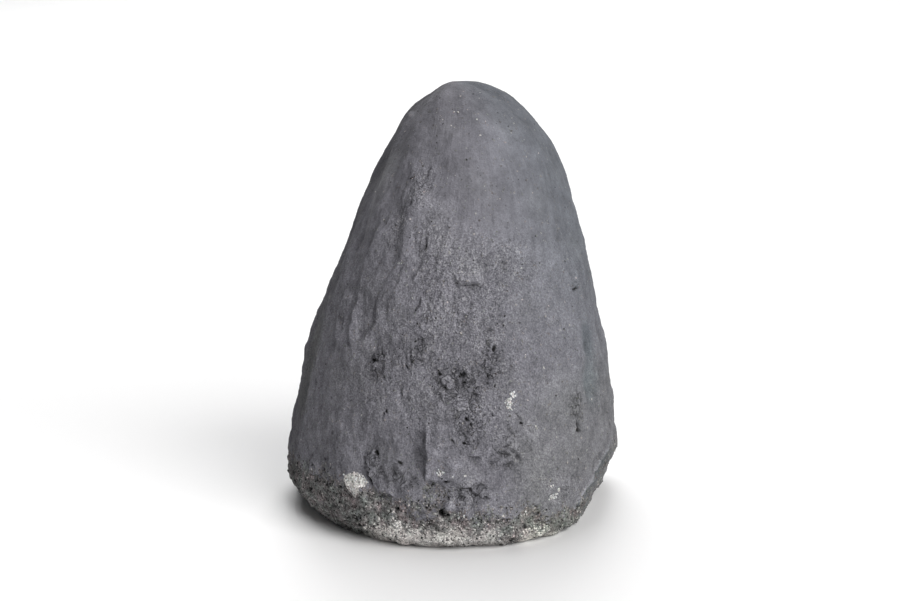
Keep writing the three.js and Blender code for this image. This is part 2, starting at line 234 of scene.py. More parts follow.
# Sharp-walled pits and gaps, as above, with a depth for the rise.
PITS = [
    [4.7, 86.9, 0.39, 0.41, 1], [-11.8, 85, 0.5, 0.42, 0.8], [11.7, 76.7, 2.12, 0.97, 0.8],
    [9.9, 80.6, 0.55, 0.32, 0.6], [10, 69.5, 0.64, 0.71, 1.8], [6.5, 67.5, 0.4, 0.33, 0.9],
    [12.5, 68.2, 0.6, 0.27, 0.8], [0.9, 60.7, 1.26, 0.45, 0.9], [3.8, 56.6, 1.31, 0.78, 1.1],
    [7.7, 58, 0.65, 0.41, 1.2], [8.1, 60.1, 0.4, 0.73, 0.8], [-5.6, 61.4, 1.02, 0.77, 1.2],
    [-1.8, 53.9, 0.68, 0.37, 0.8], [10.5, 59.4, 0.47, 0.55, 0.7], [-14, 64.8, 0.52, 0.9, 1],
    [1.7, 45.5, 0.37, 0.93, 1.4], [-1.8, 39.2, 0.69, 0.8, 2], [0.9, 37.8, 0.39, 0.35, 2],
    [0.5, 37.1, 0.31, 0.24, 1.4], [3.4, 37.8, 0.31, 0.19, 0.8], [4.4, 37.8, 0.3, 0.19, 0.7],
    [0, 35, 0.56, 0.57, 0.7], [2, 45.5, 0.42, 0.3, 1.4], [2.7, 44.8, 0.41, 0.3, 1.5],
    [16, 37.1, 0.47, 0.38, 0.7], [16.9, 36.4, 0.39, 0.19, 0.6], [16.4, 43.4, 0.54, 0.47, 1.2],
    [15, 47.6, 0.62, 0.23, 1], [35.4, 38.5, 0.55, 0.9, 1.3], [36, 36.4, 0.9, 0.66, 1.2],
    [37.3, 35.7, 0.57, 0.47, 0.8], [43.3, 38.5, 0.89, 0.21, 0.7], [41.6, 37.8, 0.67, 0.42, 0.7],
    [60.1, 30, 1.32, 1.14, 1], [7.8, 30, 0.85, 1.42, 0.8], [12.2, 29.3, 2.03, 0.95, 0.7],
    [7.7, 22.1, 0.68, 0.29, 0.6], [5.9, 19, 0.88, 0.87, 0.9], [17.8, 14, 1.1, 0.53, 1.6],
    [15.6, 17, 0.8, 0.73, 0.8], [11.6, 12, 0.69, 0.3, 1.3], [18.7, 8, 0.46, 0.67, 1.4],
    [20, 8, 0.72, 0.43, 1.5], [19.6, 11, 0.79, 0.6, 0.7], [-21.8, 32.8, 0.67, 1.04, 1.7],
    [-24.1, 26.4, 0.64, 0.31, 1.4], [-24.1, 23.6, 0.59, 0.38, 1.4], [-33.7, 19, 0.88, 0.53, 1.4],
    [-39.2, 16, 0.72, 0.8, 1.3], [-48.8, 13, 2.02, 0.53, 1.3], [-42.9, 18, 1.09, 0.53, 0.9],
    [-33.8, 13, 0.83, 0.53, 1.2], [-36, 8, 0.8, 1.2, 1.2], [-28.6, 7, 0.78, 1.07, 1.6],
    [-26.3, 6, 0.69, 1.07, 1], [-22.7, 13, 0.41, 0.8, 1.3], [-21.5, 16, 0.52, 0.73, 1.3],
    [-15.9, 15, 0.72, 0.33, 1.3], [-14.1, 13, 0.73, 0.53, 1.6], [-8.3, 16, 0.9, 0.43, 1.5],
    [-8.2, 18, 0.42, 0.37, 1.2], [-3.4, 19, 0.46, 0.37, 1.5], [-4.8, 14, 0.9, 0.53, 2.2],
    [-3.7, 13, 1.07, 0.33, 1.6], [-16.6, 3, 1.25, 0.93, 1.2], [-41.3, 26.4, 1.68, 0.21, 1],
    [-40.7, 23.6, 0.78, 0.71, 0.9], [-49.3, 24.3, 1.96, 1.9, 0.7], [-47.2, 22.1, 1.94, 0.57, 0.8],
    [-16.7, 27.8, 0.61, 0.71, 0.7], [-15.4, 31.4, 1.03, 0.57, 0.8], [-12.7, 29.3, 0.47, 0.33, 1],
    [-12.4, 27.1, 0.42, 0.85, 0.9], [-26.1, 64.1, 1.52, 0.72, 1.8], [-24.1, 61.4, 0.67, 0.36, 1.3],
    [-26.5, 60.7, 0.49, 0.54, 0.9], [-22.8, 66.1, 0.48, 0.45, 1.2], [-40.7, 48.3, 0.81, 0.26, 1.3],
    [-32.4, 46.2, 1.18, 0.42, 0.7], [-20.6, 46.2, 0.44, 0.56, 1.2], [-19.7, 47.6, 0.27, 0.42, 0.8],
    [-53, 50.4, 0.84, 0.7, 0.9], [-3.6, 112.2, 0.43, 0.23, 0.9], [-3, 110.6, 0.3, 0.35, 0.7],
    [-10.9, 104, 0.4, 1.4, 0.2], [-15.5, 122.6, 0.67, 0.44, 1.2], [-17.5, 121.6, 0.63, 0.44, 1],
    [-13.1, 128.4, 0.75, 0.34, 0.8], [1.6, 130.5, 0.48, 0.45, 0.6], [30.8, 98.9, 0.44, 0.19, 1],
    [46.9, 83.7, 2.08, 0.29, 1], [15.6, 96, 1.12, 0.94, 0.9], [47.2, 88.7, 1.16, 0.57, 0.5],
    [-14.2, 34.2, 0.26, 0.21, 0.7], [12.2, 2, 0.66, 1.33, 1.2], [47.8, 22.9, 1.1, 0.62, 1],
    [46.3, 20.7, 0.95, 0.57, 0.9], [43, 18, 1.08, 0.87, 0.8], [-0.9, 60.1, 0.36, 0.23, 0.8],
    [-13.1, 82.5, 0.54, 0.34, 0.6], [12.4, 66.1, 0.34, 0.2, 0.7], [5.2, 62.1, 0.39, 0.45, 0.7],
    [-3.9, 56.6, 0.48, 0.55, 0.9], [-14.3, 66.8, 0.37, 0.36, 1], [-22.7, 60.1, 0.34, 0.91, 0.8],
    [-21, 55.3, 0.35, 0.6, 0.7], [-1.4, 46.9, 0.36, 0.23, 0.6], [-5, 43.4, 0.28, 0.42, 0.6],
    [10.3, 41.3, 0.36, 0.23, 0.5], [19.1, 34.2, 0.39, 0.24, 0.5], [27, 27.8, 0.41, 0.47, 0.5],
    [25.7, 56, 0.7, 0.41, 0.6], [34.2, 66.8, 0.6, 0.45, 0.5],
]
# Low cliffs where one lick of plaster ends over another: [bearings and heights along its edge, rise of the
# side on the left hand, how far that side takes to sink back, and the width of its slope if it isn't steep].
CLIFFS = [
    [[(-1.6, 92), (-0.5, 91.8), (1.4, 91.2), (4.4, 91.2), (6.8, 90.6), (8, 90.3)], 1.15, 4, 0.8],
    [[(0.5, 80.6), (1.4, 81.2), (2.9, 81.2)], 0.6, 2],
    [[(6.6, 75.4), (7.6, 76.1), (9.2, 76.1), (11.4, 74.8)], 0.6, 2],
    [[(-0.5, 60.1), (0.5, 61.4), (1.3, 62.1), (2.4, 60.7)], 0.7, 2.2],
    [[(-0.5, 58), (0.9, 58.7), (2.8, 58.7), (3.8, 59.4), (5.2, 60.1)], 0.7, 2],
    [[(-5.6, 60.1), (-4.3, 58), (-2.9, 56), (-1.4, 56)], 0.7, 2.4],
    [[(15.3, 63.5), (13.5, 62.1), (12, 60.7)], -0.45, 2.5],
    [[(11.1, 36.4), (12.3, 37.1), (13.2, 37.8), (14.3, 37.8)], 0.6, 2],
    [[(1.7, 41.3), (2.4, 41.3), (4.1, 41.3), (5.7, 42)], 0.5, 2],
    [[(2, 33.5), (3.7, 33.5), (5, 33.5)], 0.5, 2], [[(32.8, 42.7), (34, 42.7), (35.5, 41.3)], 0.5, 1.8],
    [[(10.2, 33.5), (11.4, 34.2), (12.8, 33.5)], 0.6, 1.8],
    [[(10.4, 29.3), (11.3, 30.7), (12.8, 30.7), (13.6, 29.3)], 0.7, 1.6],
    [[(11.7, 35), (13.1, 35), (14.5, 33.5), (15.3, 30.7)], 0.5, 2],
    [[(4.9, 19), (5.3, 20), (6.2, 20), (6.8, 19)], 0.8, 1.6],
    [[(-9, 46.9), (-8.7, 39.2), (-8.8, 30.7), (-8.5, 25.7), (-4.8, 25), (-2.2, 25.7), (-1.4, 27.8),
      (-1, 28.6), (0.5, 30), (2, 31.4)], 1.1, 7, 1.1],
    [[(-1.4, 22.1), (0.5, 22.9), (2.3, 22.9), (2.7, 21.4), (4, 20), (4.9, 21.4)], 0.8, 3],
    [[(-24.9, 32.1), (-25.2, 28.6), (-24.1, 25.7), (-23.2, 22.9), (-21.4, 20), (-21.2, 17)], 0.4, 3, 1.0],
    [[(-21.4, 18), (-20.5, 19), (-18.7, 20), (-16.8, 19)], 0.7, 2.2],
    [[(-43.1, 24.3), (-40.4, 22.9), (-37.8, 22.1)], 0.5, 2],
    [[(-45.6, 19), (-42.5, 20.7), (-39.8, 20)], 0.5, 2],
    [[(-18.6, 27.8), (-17.3, 30), (-15.8, 31.4), (-14.5, 31.4)], 0.5, 2],
    [[(59.5, 23.6), (52.9, 23.6), (48.6, 22.1), (42.7, 19), (40, 16), (36.8, 13), (32.9, 9),
      (28.9, 7)], 0.5, 3, 1.6],
    [[(-47.2, 86.2), (-46.6, 81.8), (-48, 75.4), (-43.7, 68.8), (-41.8, 64.8)], 1.1, 3.6, 1.8],
    [[(-38.2, 87.5), (-36.5, 83.1), (-37.3, 78.6), (-36.6, 72.1), (-35.2, 66.8)], 0.9, 3.4, 1.8],
    [[(-26.7, 83.1), (-26.3, 78), (-29.2, 72.8), (-32.7, 67.5)], 0.9, 3.4, 1.8],
    [[(-41.3, 76.7), (-40.6, 70.8)], 0.4, 2],
    [[(-15.2, 124), (-19, 118.8), (-21.9, 114.2), (-21.6, 109), (-21.9, 104), (-21.3, 97.7)], 1.3, 6, 4.6],
    [[(-34.1, 110.1), (-36.8, 101.8), (-37.9, 93), (-38.6, 86.2)], 1.2, 6, 3.6],
    [[(-10.8, 106.8), (-10.9, 101.2)], 0.5, 1.6],
    [[(-11.3, 100.1), (-13.4, 96), (-15.2, 91.2)], 0.4, 2, 1.3],
    [[(-51, 92.4), (-51.7, 83.7)], 0.5, 3.4, 2],
    [[(2.7, 140.9), (-4.1, 137.5), (-8.4, 132.2)], 0.35, 4, 2.5],
    [[(-28.7, 133.4), (-33.1, 127.6), (-36.1, 122.1)], 0.45, 4, 2.5],
    [[(-15, 57.3), (-15.7, 55.3), (-15.1, 53.2)], 0.5, 2], [[(0, 147), (4.9, 147), (9, 146.5)], 0.35, 2],
    [[(16.9, 139.9), (22.6, 139.6), (29, 138.9)], 0.2, 2],
    [[(-12.1, 86.9), (-11.6, 84.4), (-12.8, 82.5), (-14, 81.2)], 0.45, 1.6],
    [[(1.7, 53.9), (2.4, 52.5), (3.1, 52.5), (3.5, 53.9)], -0.4, 1.4],
]
# Cracks: [bearings and heights along it, depth, half width].
CRACKS = [
    [[(7, 76.1), (6.3, 74.8), (5.6, 74.1)], 0.8, 0.45],
    [[(1.3, 46.9), (2.4, 45.5), (3.1, 44.1)], 1.2, 0.45],
    [[(15, 47.6), (15.9, 45.5), (16.7, 42.7)], 0.45, 0.35],
    [[(8.1, 62.1), (8.1, 60.1), (7.7, 57.3)], 0.8, 0.4],
    [[(35.2, 39.9), (36, 37.1), (35.7, 35.7)], 0.9, 0.35],
    [[(-14.8, 68.2), (-15.5, 66.1), (-15.2, 64.1), (-14, 62.1)], 0.45, 0.45],
    [[(-13.9, 68.8), (-13.7, 66.8), (-13.4, 64.8)], 0.3, 0.4],
    [[(-23.2, 62.1), (-21.8, 59.4), (-21, 56.6), (-20.5, 52.5)], 0.5, 0.5],
    [[(8.3, 49), (8.8, 46.9)], 0.8, 0.35], [[(0.5, 37.8), (1.7, 38.5)], 1, 0.4],
    [[(0, 58), (2.1, 58.7), (3.8, 59.4)], 0.5, 0.35], [[(-9.2, 16), (-8.3, 16), (-7.2, 15)], 1, 0.4],
    [[(-5.5, 15), (-4.5, 14), (-2.6, 13)], 1.2, 0.4],
    [[(-24.3, 27.1), (-24.1, 25), (-22.9, 22.1)], 0.7, 0.4],
    [[(-11.4, 106.3), (-10.7, 101.2)], 0.14, 0.35], [[(10.8, 33.5), (12.5, 33.5)], 0.5, 0.35],
    [[(-19.4, 49), (-20.6, 46.2), (-20.7, 44.1)], 0.6, 0.4], [[(6.6, 68.2), (7.2, 68.8)], 0.6, 0.35],
    [[(-19, 118.8), (-20.8, 115.8), (-22, 113.2)], 0.25, 0.5],
    [[(-13.3, 129.3), (-15.7, 125.3), (-16.7, 121.6)], 0.28, 0.5], [[(-16.6, 15), (-15.3, 15)], 0.9, 0.4],
    [[(47.5, 24.3), (47.4, 20)], 0.5, 0.5], [[(-47.2, 76.7), (-47, 73.4), (-43.3, 68.8)], 0.4, 0.5],
    [[(44.2, 83.7), (47.7, 84.4), (50.1, 83.1)], 0.6, 0.45], [[(-49.9, 81.8), (-45.7, 79.3)], 0.6, 0.6],
    [[(-26.6, 77.4), (-28.8, 73.4)], 0.35, 0.5], [[(-6.2, 25), (-3.7, 25), (-1.8, 25.7)], 0.6, 0.35],
    [[(2.7, 33.5), (5, 32.8)], 0.3, 0.35], [[(-54.5, 52.5), (-51.5, 49)], 0.5, 0.35],
]
# Light scratches, as above, with a strength for the depth.
SCRATCHES = [
    [[(6.8, 98.5), (5.8, 95.5), (5.0, 92.4)], 1.0, 0.3], [[(0.2, 100), (0.2, 97), (0.2, 93)], 0.7, 0.3],
    [[(8.1, 97.5), (7.9, 94), (7.6, 91.5)], 0.7, 0.35], [[(-1.4, 97), (-1.6, 93.5)], 0.5, 0.3],
    [[(1.6, 100.5), (1.7, 96)], 0.5, 0.3], [[(20.5, 101), (21.2, 98)], 0.8, 0.45],
]
# The fold of plaster along the lower right, as bearings and heights.
FOLD_LINE = [
    (62, 25.4), (56.8, 23.8), (50, 22.4), (45.8, 20.7), (41.7, 17), (35.8, 12.7), (32.8, 9.7), (30, 6),
]
# Lighter and darker patches of the plaster: [bearing, height, half width, half height, share added].
SHADES = [
    [-6.5, 62, 4, 4, -0.13], [-2, 57, 3.5, 3, -0.13], [1.5, 60, 5, 4, -0.10], [-12, 70, 3, 5, -0.13],
    [-14, 50, 4, 11, -0.08], [-4, 50, 5, 5, 0.06], [4, 52, 5, 4, 0.05], [5, 43, 4, 4, 0.05],
    [-24, 62, 4, 7, -0.12], [-20, 40, 4, 12, -0.06], [-32, 60, 3, 20, 0.05], [2.3, 45, 2, 3, -0.10],
    [0.5, 36, 3, 2, -0.08], [13, 28, 6, 5, -0.06], [10.8, 97.2, 1.1, 2.0, -0.17], [3.5, 22, 8, 3, -0.10],
    [-4, 17, 8, 4, -0.12], [17, 45, 2, 5, -0.05], [7, 70, 6, 7, 0.05], [-4, 78, 7, 7, 0.04],
]
# Wider lighter and darker fields with firmer edges, as above.
# The dark field at bearing -11.6 is painted shade beside the left edge of the raised plate.
PATCHES = [
    [-11.6, 34, 2.8, 9, -0.16], [-14, 138, 16, 9, -0.17], [49, 66, 8, 9, -0.06], [30, 32, 12, 14, -0.05],
    [33, 68, 12, 12, -0.05], [0, 102, 14, 14, 0.1], [-1, 82, 12, 9, 0.09], [18, 136, 15, 9, 0.17],
    [-44, 90, 8, 9, -0.05], [-44, 50, 9, 12, -0.05], [-20, 122, 4, 7, 0.15], [-17, 6, 7, 6, 0.70],
    [18, 5, 6, 4, 0.5], [-26, 9, 5, 5, 0.45], [-4, 18, 5, 5, 0.24], [-27.8, 22, 5, 3, 0.3],
    [-24, 14, 4, 3, 0.12],
]
# The plaster's lower edge and the top of the pale lime under it, as [bearing, height] along the foot.
PLASTER_EDGE = np.array([
    [-95, 16], [-70, 19], [-54, 21], [-47, 22], [-41, 23], [-36, 23], [-31, 22], [-26, 23], [-22, 20.5],
    [-18, 18.5], [-12, 17.5], [-8, 16.5], [-2, 15], [3, 14.5], [9, 14.5], [14, 14], [18, 14], [21, 12],
    [25, 10.5], [28, 11.5], [32, 10.5], [36.8, 12], [42.7, 16], [48, 19], [54, 21], [62, 25], [75, 22],
    [95, 18],
], float)
PALE_TOP = np.array([
    [-95, -3], [-36, -3], [-30, 1], [-25, 6.5], [-20, 10.5], [-15, 10.5], [-9, 9.5], [-3, 9], [2, 9],
    [7, 8], [10, 7], [12, 1], [14, 2], [15.5, 7], [21, 7.6], [26, 5.5], [29, 3], [32, -3], [95, -3],
], float)
PLASTER_RAGS, PALE_RAGS = 2.6, 2.2  # how far ragged noise shifts each edge
PLASTER_FADE, PALE_FADE = 7.0, 5.0  # height over which each gives way

# Patches of the fields below, each [bearing, height, half width, half height, share].
FACETS = [[0.8, 21, 2.8, 1.7, 1], [-9.5, 13, 4.6, 1.7, 1]]  # smooth facets where the coat broke away
CREAM = [[-27.6, 23, 6.4, 2.6, 1], [-28.2, 20, 3.6, 3.4, 1]]  # one large cream-coloured deposit
COARSE = [  # sandier plaster
    [3, 88, 15, 20, 0.8], [-16, 122, 5, 8, 1.2], [-24, 110, 5, 10, 0.8], [-8, 104, 6, 14, 0.7],
    [20, 97, 8, 8, 0.5], [-14, 60, 22, 22, 0.5], [6, 55, 14, 18, 0.5], [24, 20, 18, 14, 0.2],
    [-3, 19, 9, 6, 0.6], [30, 14, 8, 6, 0.3], [-17, 42, 7, 12, -0.4],
]
PITTED = [  # how many small bubble pits there are
    [4, 58, 12, 12, 0.15], [6, 40, 16, 12, 0.14], [16, 13, 12, 6, 0.22], [-46, 14, 18, 8, 0.22],
    [34, 40, 10, 10, 0.1], [-24, 60, 8, 10, 0.1], [-20, 28, 12, 8, 0.12],
]
SCRIBBLED = [  # crowded short wrinkles
    [-12, 68, 3, 5, 1.1], [-1, 58, 9, 7, 1], [9, 65, 4, 8, 0.9], [2.5, 45, 5, 8, 1], [14, 36, 9, 6, 0.4],
    [11, 31, 7, 4, 0.15], [3, 42, 20, 24, 0.3], [-24, 63, 4, 6, 1], [-23, 31, 4, 8, 0.9],
    [-16, 25, 8, 5, 0.8], [36, 45, 4, 7, 1], [47, 85, 4, 2, 0.7], [2, 21, 9, 4, 0.7],
    [-14, 107, 4, 12, 0.5], [-10, 80, 5, 10, 0.6], [3, 78, 9, 6, 0.5], [30, 20, 8, 8, 0.5],
    [-46, 78, 5, 8, 0.5],
]
OLIVE = [[-66, 52, 8, 22, 0.9], [-48, 122, 8, 12, 0.6]]  # a faint olive cast
COOL_DENTS = [[49, 65, 6, 7, 1], [47, 50, 7, 8, 1]]  # bluer grey in the two oval dents of the right flank
LIME_SPOTS = [  # small spots of lime, each [bearing, height, half width, half height]
    [14.5, 53.2, 0.8, 1.3], [13.6, 50.2, 1.4, 1.9], [24.2, 15.8, 1.5, 1.0], [-5, 28.2, 0.9, 0.8],
    [1, 27, 0.7, 0.5], [23.6, 20, 0.6, 0.5], [26, 18, 0.5, 0.9],
]
# Layers of noise, each [size in millimetres, strength, stream].
RAGGED = [[5.0, 1.0, 11], [2.1, 0.8, 12], [1.3, 0.5, 13]]
LUMPS = [[13.0, 0.5, 21], [6.5, 0.36, 22], [3.6, 0.22, 23]]
GRAVEL = [[3.4, 1.0, 101], [1.9, 0.9, 102], [1.2, 0.5, 103]]
CHIPS = [[4.0, 1.0, 111], [1.6, 0.25, 112]]
MOTTLE = [[11, 0.13, 131], [4.6, 0.11, 132], [2.1, 0.085, 133]]
# Low waves over the whole plaster, each [turns per radian of bearing, per millimetre up, start].
WAVES = [[4.1, 0.06, 0.6], [8.7, -0.11, 2.1], [13.3, 0.17, 4.4]]
WAVE_HEIGHT = 0.3
WINDOW_EDGE = 1.6  # how steep the edge of a patch is, as a power


def bells(marks, edge, stray=(0.0, 0.0)):
    """Sum of rise exp(-(u^2 + v^2)^edge), with u the distance round the stone in half widths and v the
    distance up it in half heights. An edge of 1 is a soft bell, and a higher one has steeper walls. Stray
    shifts both distances from place to place, so that the outlines turn ragged."""
    total = np.zeros_like(LEVEL)
    for at, level, half_width, half_height, rise in marks:
        u = (np.radians(BEARING - at) * ARC + stray[0]) / half_width
        v = (LEVEL - level + stray[1]) / half_height
        total += rise * np.exp(-((u * u + v * v) ** edge))
    return total


def windows(patches):
    """Sum of patches, each nearly even in its middle and gone past about one and a half half widths."""
    return bells(patches, WINDOW_EDGE)


def window(at, level, half_width, half_height):
    """One such patch, 1 in its middle."""
    return windows([[at, level, half_width, half_height, 1.0]])


def arc_place(bearing, level):
    """Distance round the stone from the middle of its back to a bearing, at the skin's nearest point."""
    row = np.abs(LEVEL[:, LEVEL.shape[1] // 2] - level).argmin()
    column = np.abs(BEARING[row] - bearing).argmin()
    return np.radians(bearing) * ARC[row, column]


def beside(corners, stray):
    """For a bent line along the skin: the distance to it, above 0 on its left hand, and a share that is 1
    along it and dies out over its two end sixths. The nearest of its straight legs counts."""
    u = across + stray[0]
    v = LEVEL + stray[1]
    line = np.array([[arc_place(*corner), corner[1]] for corner in corners])
    legs = np.linalg.norm(np.diff(line, axis=0), axis=1)
    walked = np.concatenate([[0], np.cumsum(legs)])
    nearest, aside, along = np.full(u.shape, np.inf), np.zeros(u.shape), np.zeros(u.shape)
    for (u0, v0), (u1, v1), leg, start in zip(line[:-1], line[1:], legs, walked):
        ahead_u, ahead_v = (u1 - u0) / leg, (v1 - v0) / leg
        held = np.clip((u - u0) * ahead_u + (v - v0) * ahead_v, 0, leg)
        gap = np.hypot(u - u0 - held * ahead_u, v - v0 - held * ahead_v)
        left = np.sign((v - v0) * ahead_u - (u - u0) * ahead_v)
        closer = gap < nearest
        nearest = np.where(closer, gap, nearest)
        aside = np.where(closer, left * gap, aside)
        along = np.where(closer, (start + held) / walked[-1], along)
    return aside, smooth(6 * along + 0.1) * smooth(6 * (1 - along) + 0.1)


def ridge(distance, half_width):
    """A rounded ridge along a line: exp(-(distance / half width)^2)."""
    return np.exp(-((distance / half_width) ** 2))


def cliff(corners, rise, reach, slope=0.7):
    """A cliff along a bent line: over the width of its slope the skin steps from -0.35 rise on its right
    hand to rise on its left, and sinks back as a ridge of the reach. Also gives the groove at a steep one's
    foot, a ridge 0.4 wide and rise deep, 0.3 out from it."""
    aside, ends = beside(corners, small_stray)
    step = 1.35 * smooth(aside / slope + 0.5) - 0.35
    groove = abs(rise) * ridge(aside + 0.3 * np.sign(rise), 0.4) * (slope < 1)
    return np.stack([rise * step * ridge(aside, reach), groove]) * ends


def crack(corners, depth, half_width):
    """A crack along a bent line: depth times a ridge of 0.8 of its half width."""
    aside, ends = beside(corners, small_stray)
    return depth * ridge(aside, 0.8 * half_width) * ends


def blurred(values, steps):
    """Mean of the values over a square of grid steps, from running sums down and across the grid."""
    for axis in (0, 1):
        wide = np.pad(values, [(steps + 1, steps) if n == axis else (0, 0) for n in (0, 1)], mode="edge")
        total = np.cumsum(wide, axis=axis)
        count = 2 * steps + 1
        ahead = np.take(total, range(count, total.shape[axis]), axis)
        values = (ahead - np.take(total, range(total.shape[axis] - count), axis)) / count
    return values


def pocks(points, size, stream, density):
    """Bubble pits strewn at random: each lattice cell of the given size may hold one, where a random number
    falls under density. Its depth at a point is (1 - d^2)^1.5 of its radius, with d the distance from its
    middle in radii. Gives the depth in cell sizes."""
    cell = np.floor(points / size)
    deepest = np.zeros(points.shape[:-1])
    for step in np.ndindex(3, 3, 3):
        at = cell + np.array(step) - 1
        middle = np.stack([at[..., axis] + 0.15 + 0.7 * chance(at, stream + axis) for axis in range(3)], -1)
        radius = 0.14 + 0.26 * chance(at, stream + 3) ** 2
        held = chance(at, stream + 4) < density
        gap = ((points / size - middle) ** 2).sum(-1) / radius**2
        deepest = np.maximum(deepest, held * radius * np.clip(1 - gap, 0, 1) ** 1.5)
    return deepest


# Brush strokes run down the stone, and lean over to the left on its upper left side. The ragged and stray
# values shift edges and marks from place to place.
leaning = smooth((16 - across) / 26) * smooth((LEVEL - 70) / 30)
stroke = np.radians(BEARING) * np.maximum(RADIUS, 45) * (1 - leaning)
stroke += leaning * (across - 0.5 * (LEVEL - 80))
stroke_place = np.stack([stroke, LEVEL, 0 * LEVEL], -1)
ragged = noises(skin, RAGGED)
stray = [noises(skin, [[2.6, 0.55, first], [1.4, 0.45, first + 1]]) for first in (61, 63)]
small_stray = [0.6 * shift for shift in stray]

# Where bare aggregate, pale lime, coarse sand, bubble pits and scribbled wrinkles show, as shares.
bare = smooth((np.interp(BEARING, *PLASTER_EDGE.T) + PLASTER_RAGS * ragged - LEVEL) / PLASTER_FADE + 0.3)
broken = smooth(2.6 * window(-6.5, 19.5, 5.2, 6.0) - 0.9 + 0.7 * ragged) * (LEVEL < 25.5)
bare = np.maximum(bare, 0.5 * broken)
facet = np.clip(windows(FACETS), 0, 1)
bare *= (1 - 0.9 * facet) * (1 - 0.5 * smooth((BEARING - 34) / 8))
pale = smooth((np.interp(BEARING, *PALE_TOP.T) + PALE_RAGS * ragged - LEVEL) / PALE_FADE + 0.1)
cream = windows(CREAM)
pale = np.maximum(pale, 1.3 * smooth(2.0 * cream - 0.8 + 0.5 * ragged) * smooth(4 * cream))
for spot in LIME_SPOTS:
    inside = window(*spot)
    pale = np.maximum(pale, 0.6 * smooth(1.5 * inside - 0.3 + 0.5 * ragged) * smooth(4 * inside))
coarse = np.clip(windows(COARSE) + 0.15 + 0.55 * smooth((118 - LEVEL) / 30), 0, 1.25)
pitted = np.clip(windows(PITTED) + 0.012, 0, 0.6)
scribble = np.clip(windows(SCRIBBLED), 0, 1)

# The relief, in millimetres along the normal. First the broad forms, the lumps and the brush strokes.
rise = NEAR_AXIS * (bells(SWELLS, 1) + bells(DENTS, 1, small_stray))
for around, up, start in WAVES:
    rise += NEAR_AXIS * WAVE_HEIGHT * np.sin(around * np.radians(BEARING) + up * LEVEL + start)
rise += (0.45 + 0.85 * smooth((100 - LEVEL) / 60)) * noises(skin, LUMPS)
stroke_height = (0.2 + 0.2 * smooth((-across - 8) / 25) + 0.2 * leaning) * smooth((RADIUS - 20) / 30)
stroke_height *= 1 - 0.7 * window(2, 124, 14, 20)
meander = 1.6 * np.stack([noise(skin, 9.0, 33), 0 * LEVEL, 0 * LEVEL], -1)
rise += stroke_height * layered(stroke_place + meander, [3.8, 15, 1], 31, 3)
rise += (0.06 + 0.23 * coarse) * layered(skin, 2.2, 51, 2) + (0.03 + 0.05 * coarse) * noise(skin, 1.3, 53)

# Then the plaster's edges, cracks, pits with their raised rims, wrinkles, and the ring of a large bubble.
cliffs, grooves = sum(cliff(*line) for line in CLIFFS)
cracks = 1.7 * sum(crack(*line) for line in CRACKS) * np.clip(0.8 + 1.6 * noise(skin, 1.7, 76), 0.1, 1.5)
widened = [[at, level, 1.3 * wide + 0.1, 1.3 * high + 0.1, deep] for at, level, wide, high, deep in PITS]
raised = [[at, level, 1.8 * wide, 1.9 * high, 0.3 * deep] for at, level, wide, high, deep in widened]
sharp_pits = 0.9 * bells(widened, 1.1, stray) * np.clip(0.9 + 1.6 * noise(skin, 1.5, 75), 0.1, 1.6)
pit_place = skin + np.stack([stray[0], stray[1], 0.5 * noise(skin, 1.8, 73)], -1)
small_pits = 4.0 * pocks(pit_place, 4.0, 81, pitted) + 2.2 * pocks(pit_place, 2.2, 91, pitted)
wrinkles = np.clip(1 - np.abs(noise(pit_place, 3.4, 141)) / 0.15, 0, 1) * np.clip(1.3 * scribble, 0, 1)
wrinkles *= smooth(0.5 + 1.6 * noise(skin, 4.0, 143))
ring = ridge(np.hypot(np.radians(BEARING - 13.8) * ARC / 2.1, (LEVEL - 29.6) / 2.4) - 1, 0.24)
rise += 1.3 * cliffs + bells(raised, 1.2, stray) + 0.4 * noise(skin, 4.4, 142) * scribble
# Each mark is cut into the relief and also darkens the colour: soot, and painted shade in the recesses of
# the pits and cracks, the grooves under the cliffs, the wrinkles and the bubble's ring.
soot = np.zeros_like(rise)
for mark, depth, dirt_and_shade in ((sharp_pits, 1.0, 0.6), (cracks, 1.0, 0.7), (small_pits, 0.9, 0.45),
                          (grooves, 0.45, 0.6), (wrinkles, 0.6, 0.5), (ring, 0.5, 0.3)):
    rise -= depth * mark
    soot += dirt_and_shade * mark

# Then the gravel at the foot, and the fold of plaster over a gutter along the lower right.
gravel = noises(skin, GRAVEL)
rise += bare * (-0.35 + 0.55 * gravel * (1 - np.clip(0.6 * pale, 0, 0.8)) * (1 - 0.8 * facet)) - 0.5 * broken
below_fold, fold_ends = beside(FOLD_LINE, small_stray)
strip = smooth(below_fold / 1.2 + 0.2) * ridge(below_fold, 7) * fold_ends
fold = ridge(below_fold + 0.1, 0.6) * fold_ends * (0.8 + 0.5 * noise(skin, 3.0, 145))
gutter = ridge(below_fold - 1.3, 0.6) * fold_ends * np.clip(0.5 + 1.6 * noise(skin, 2.6, 146), 0, 1)
rise += 0.45 * fold - 0.5 * gutter

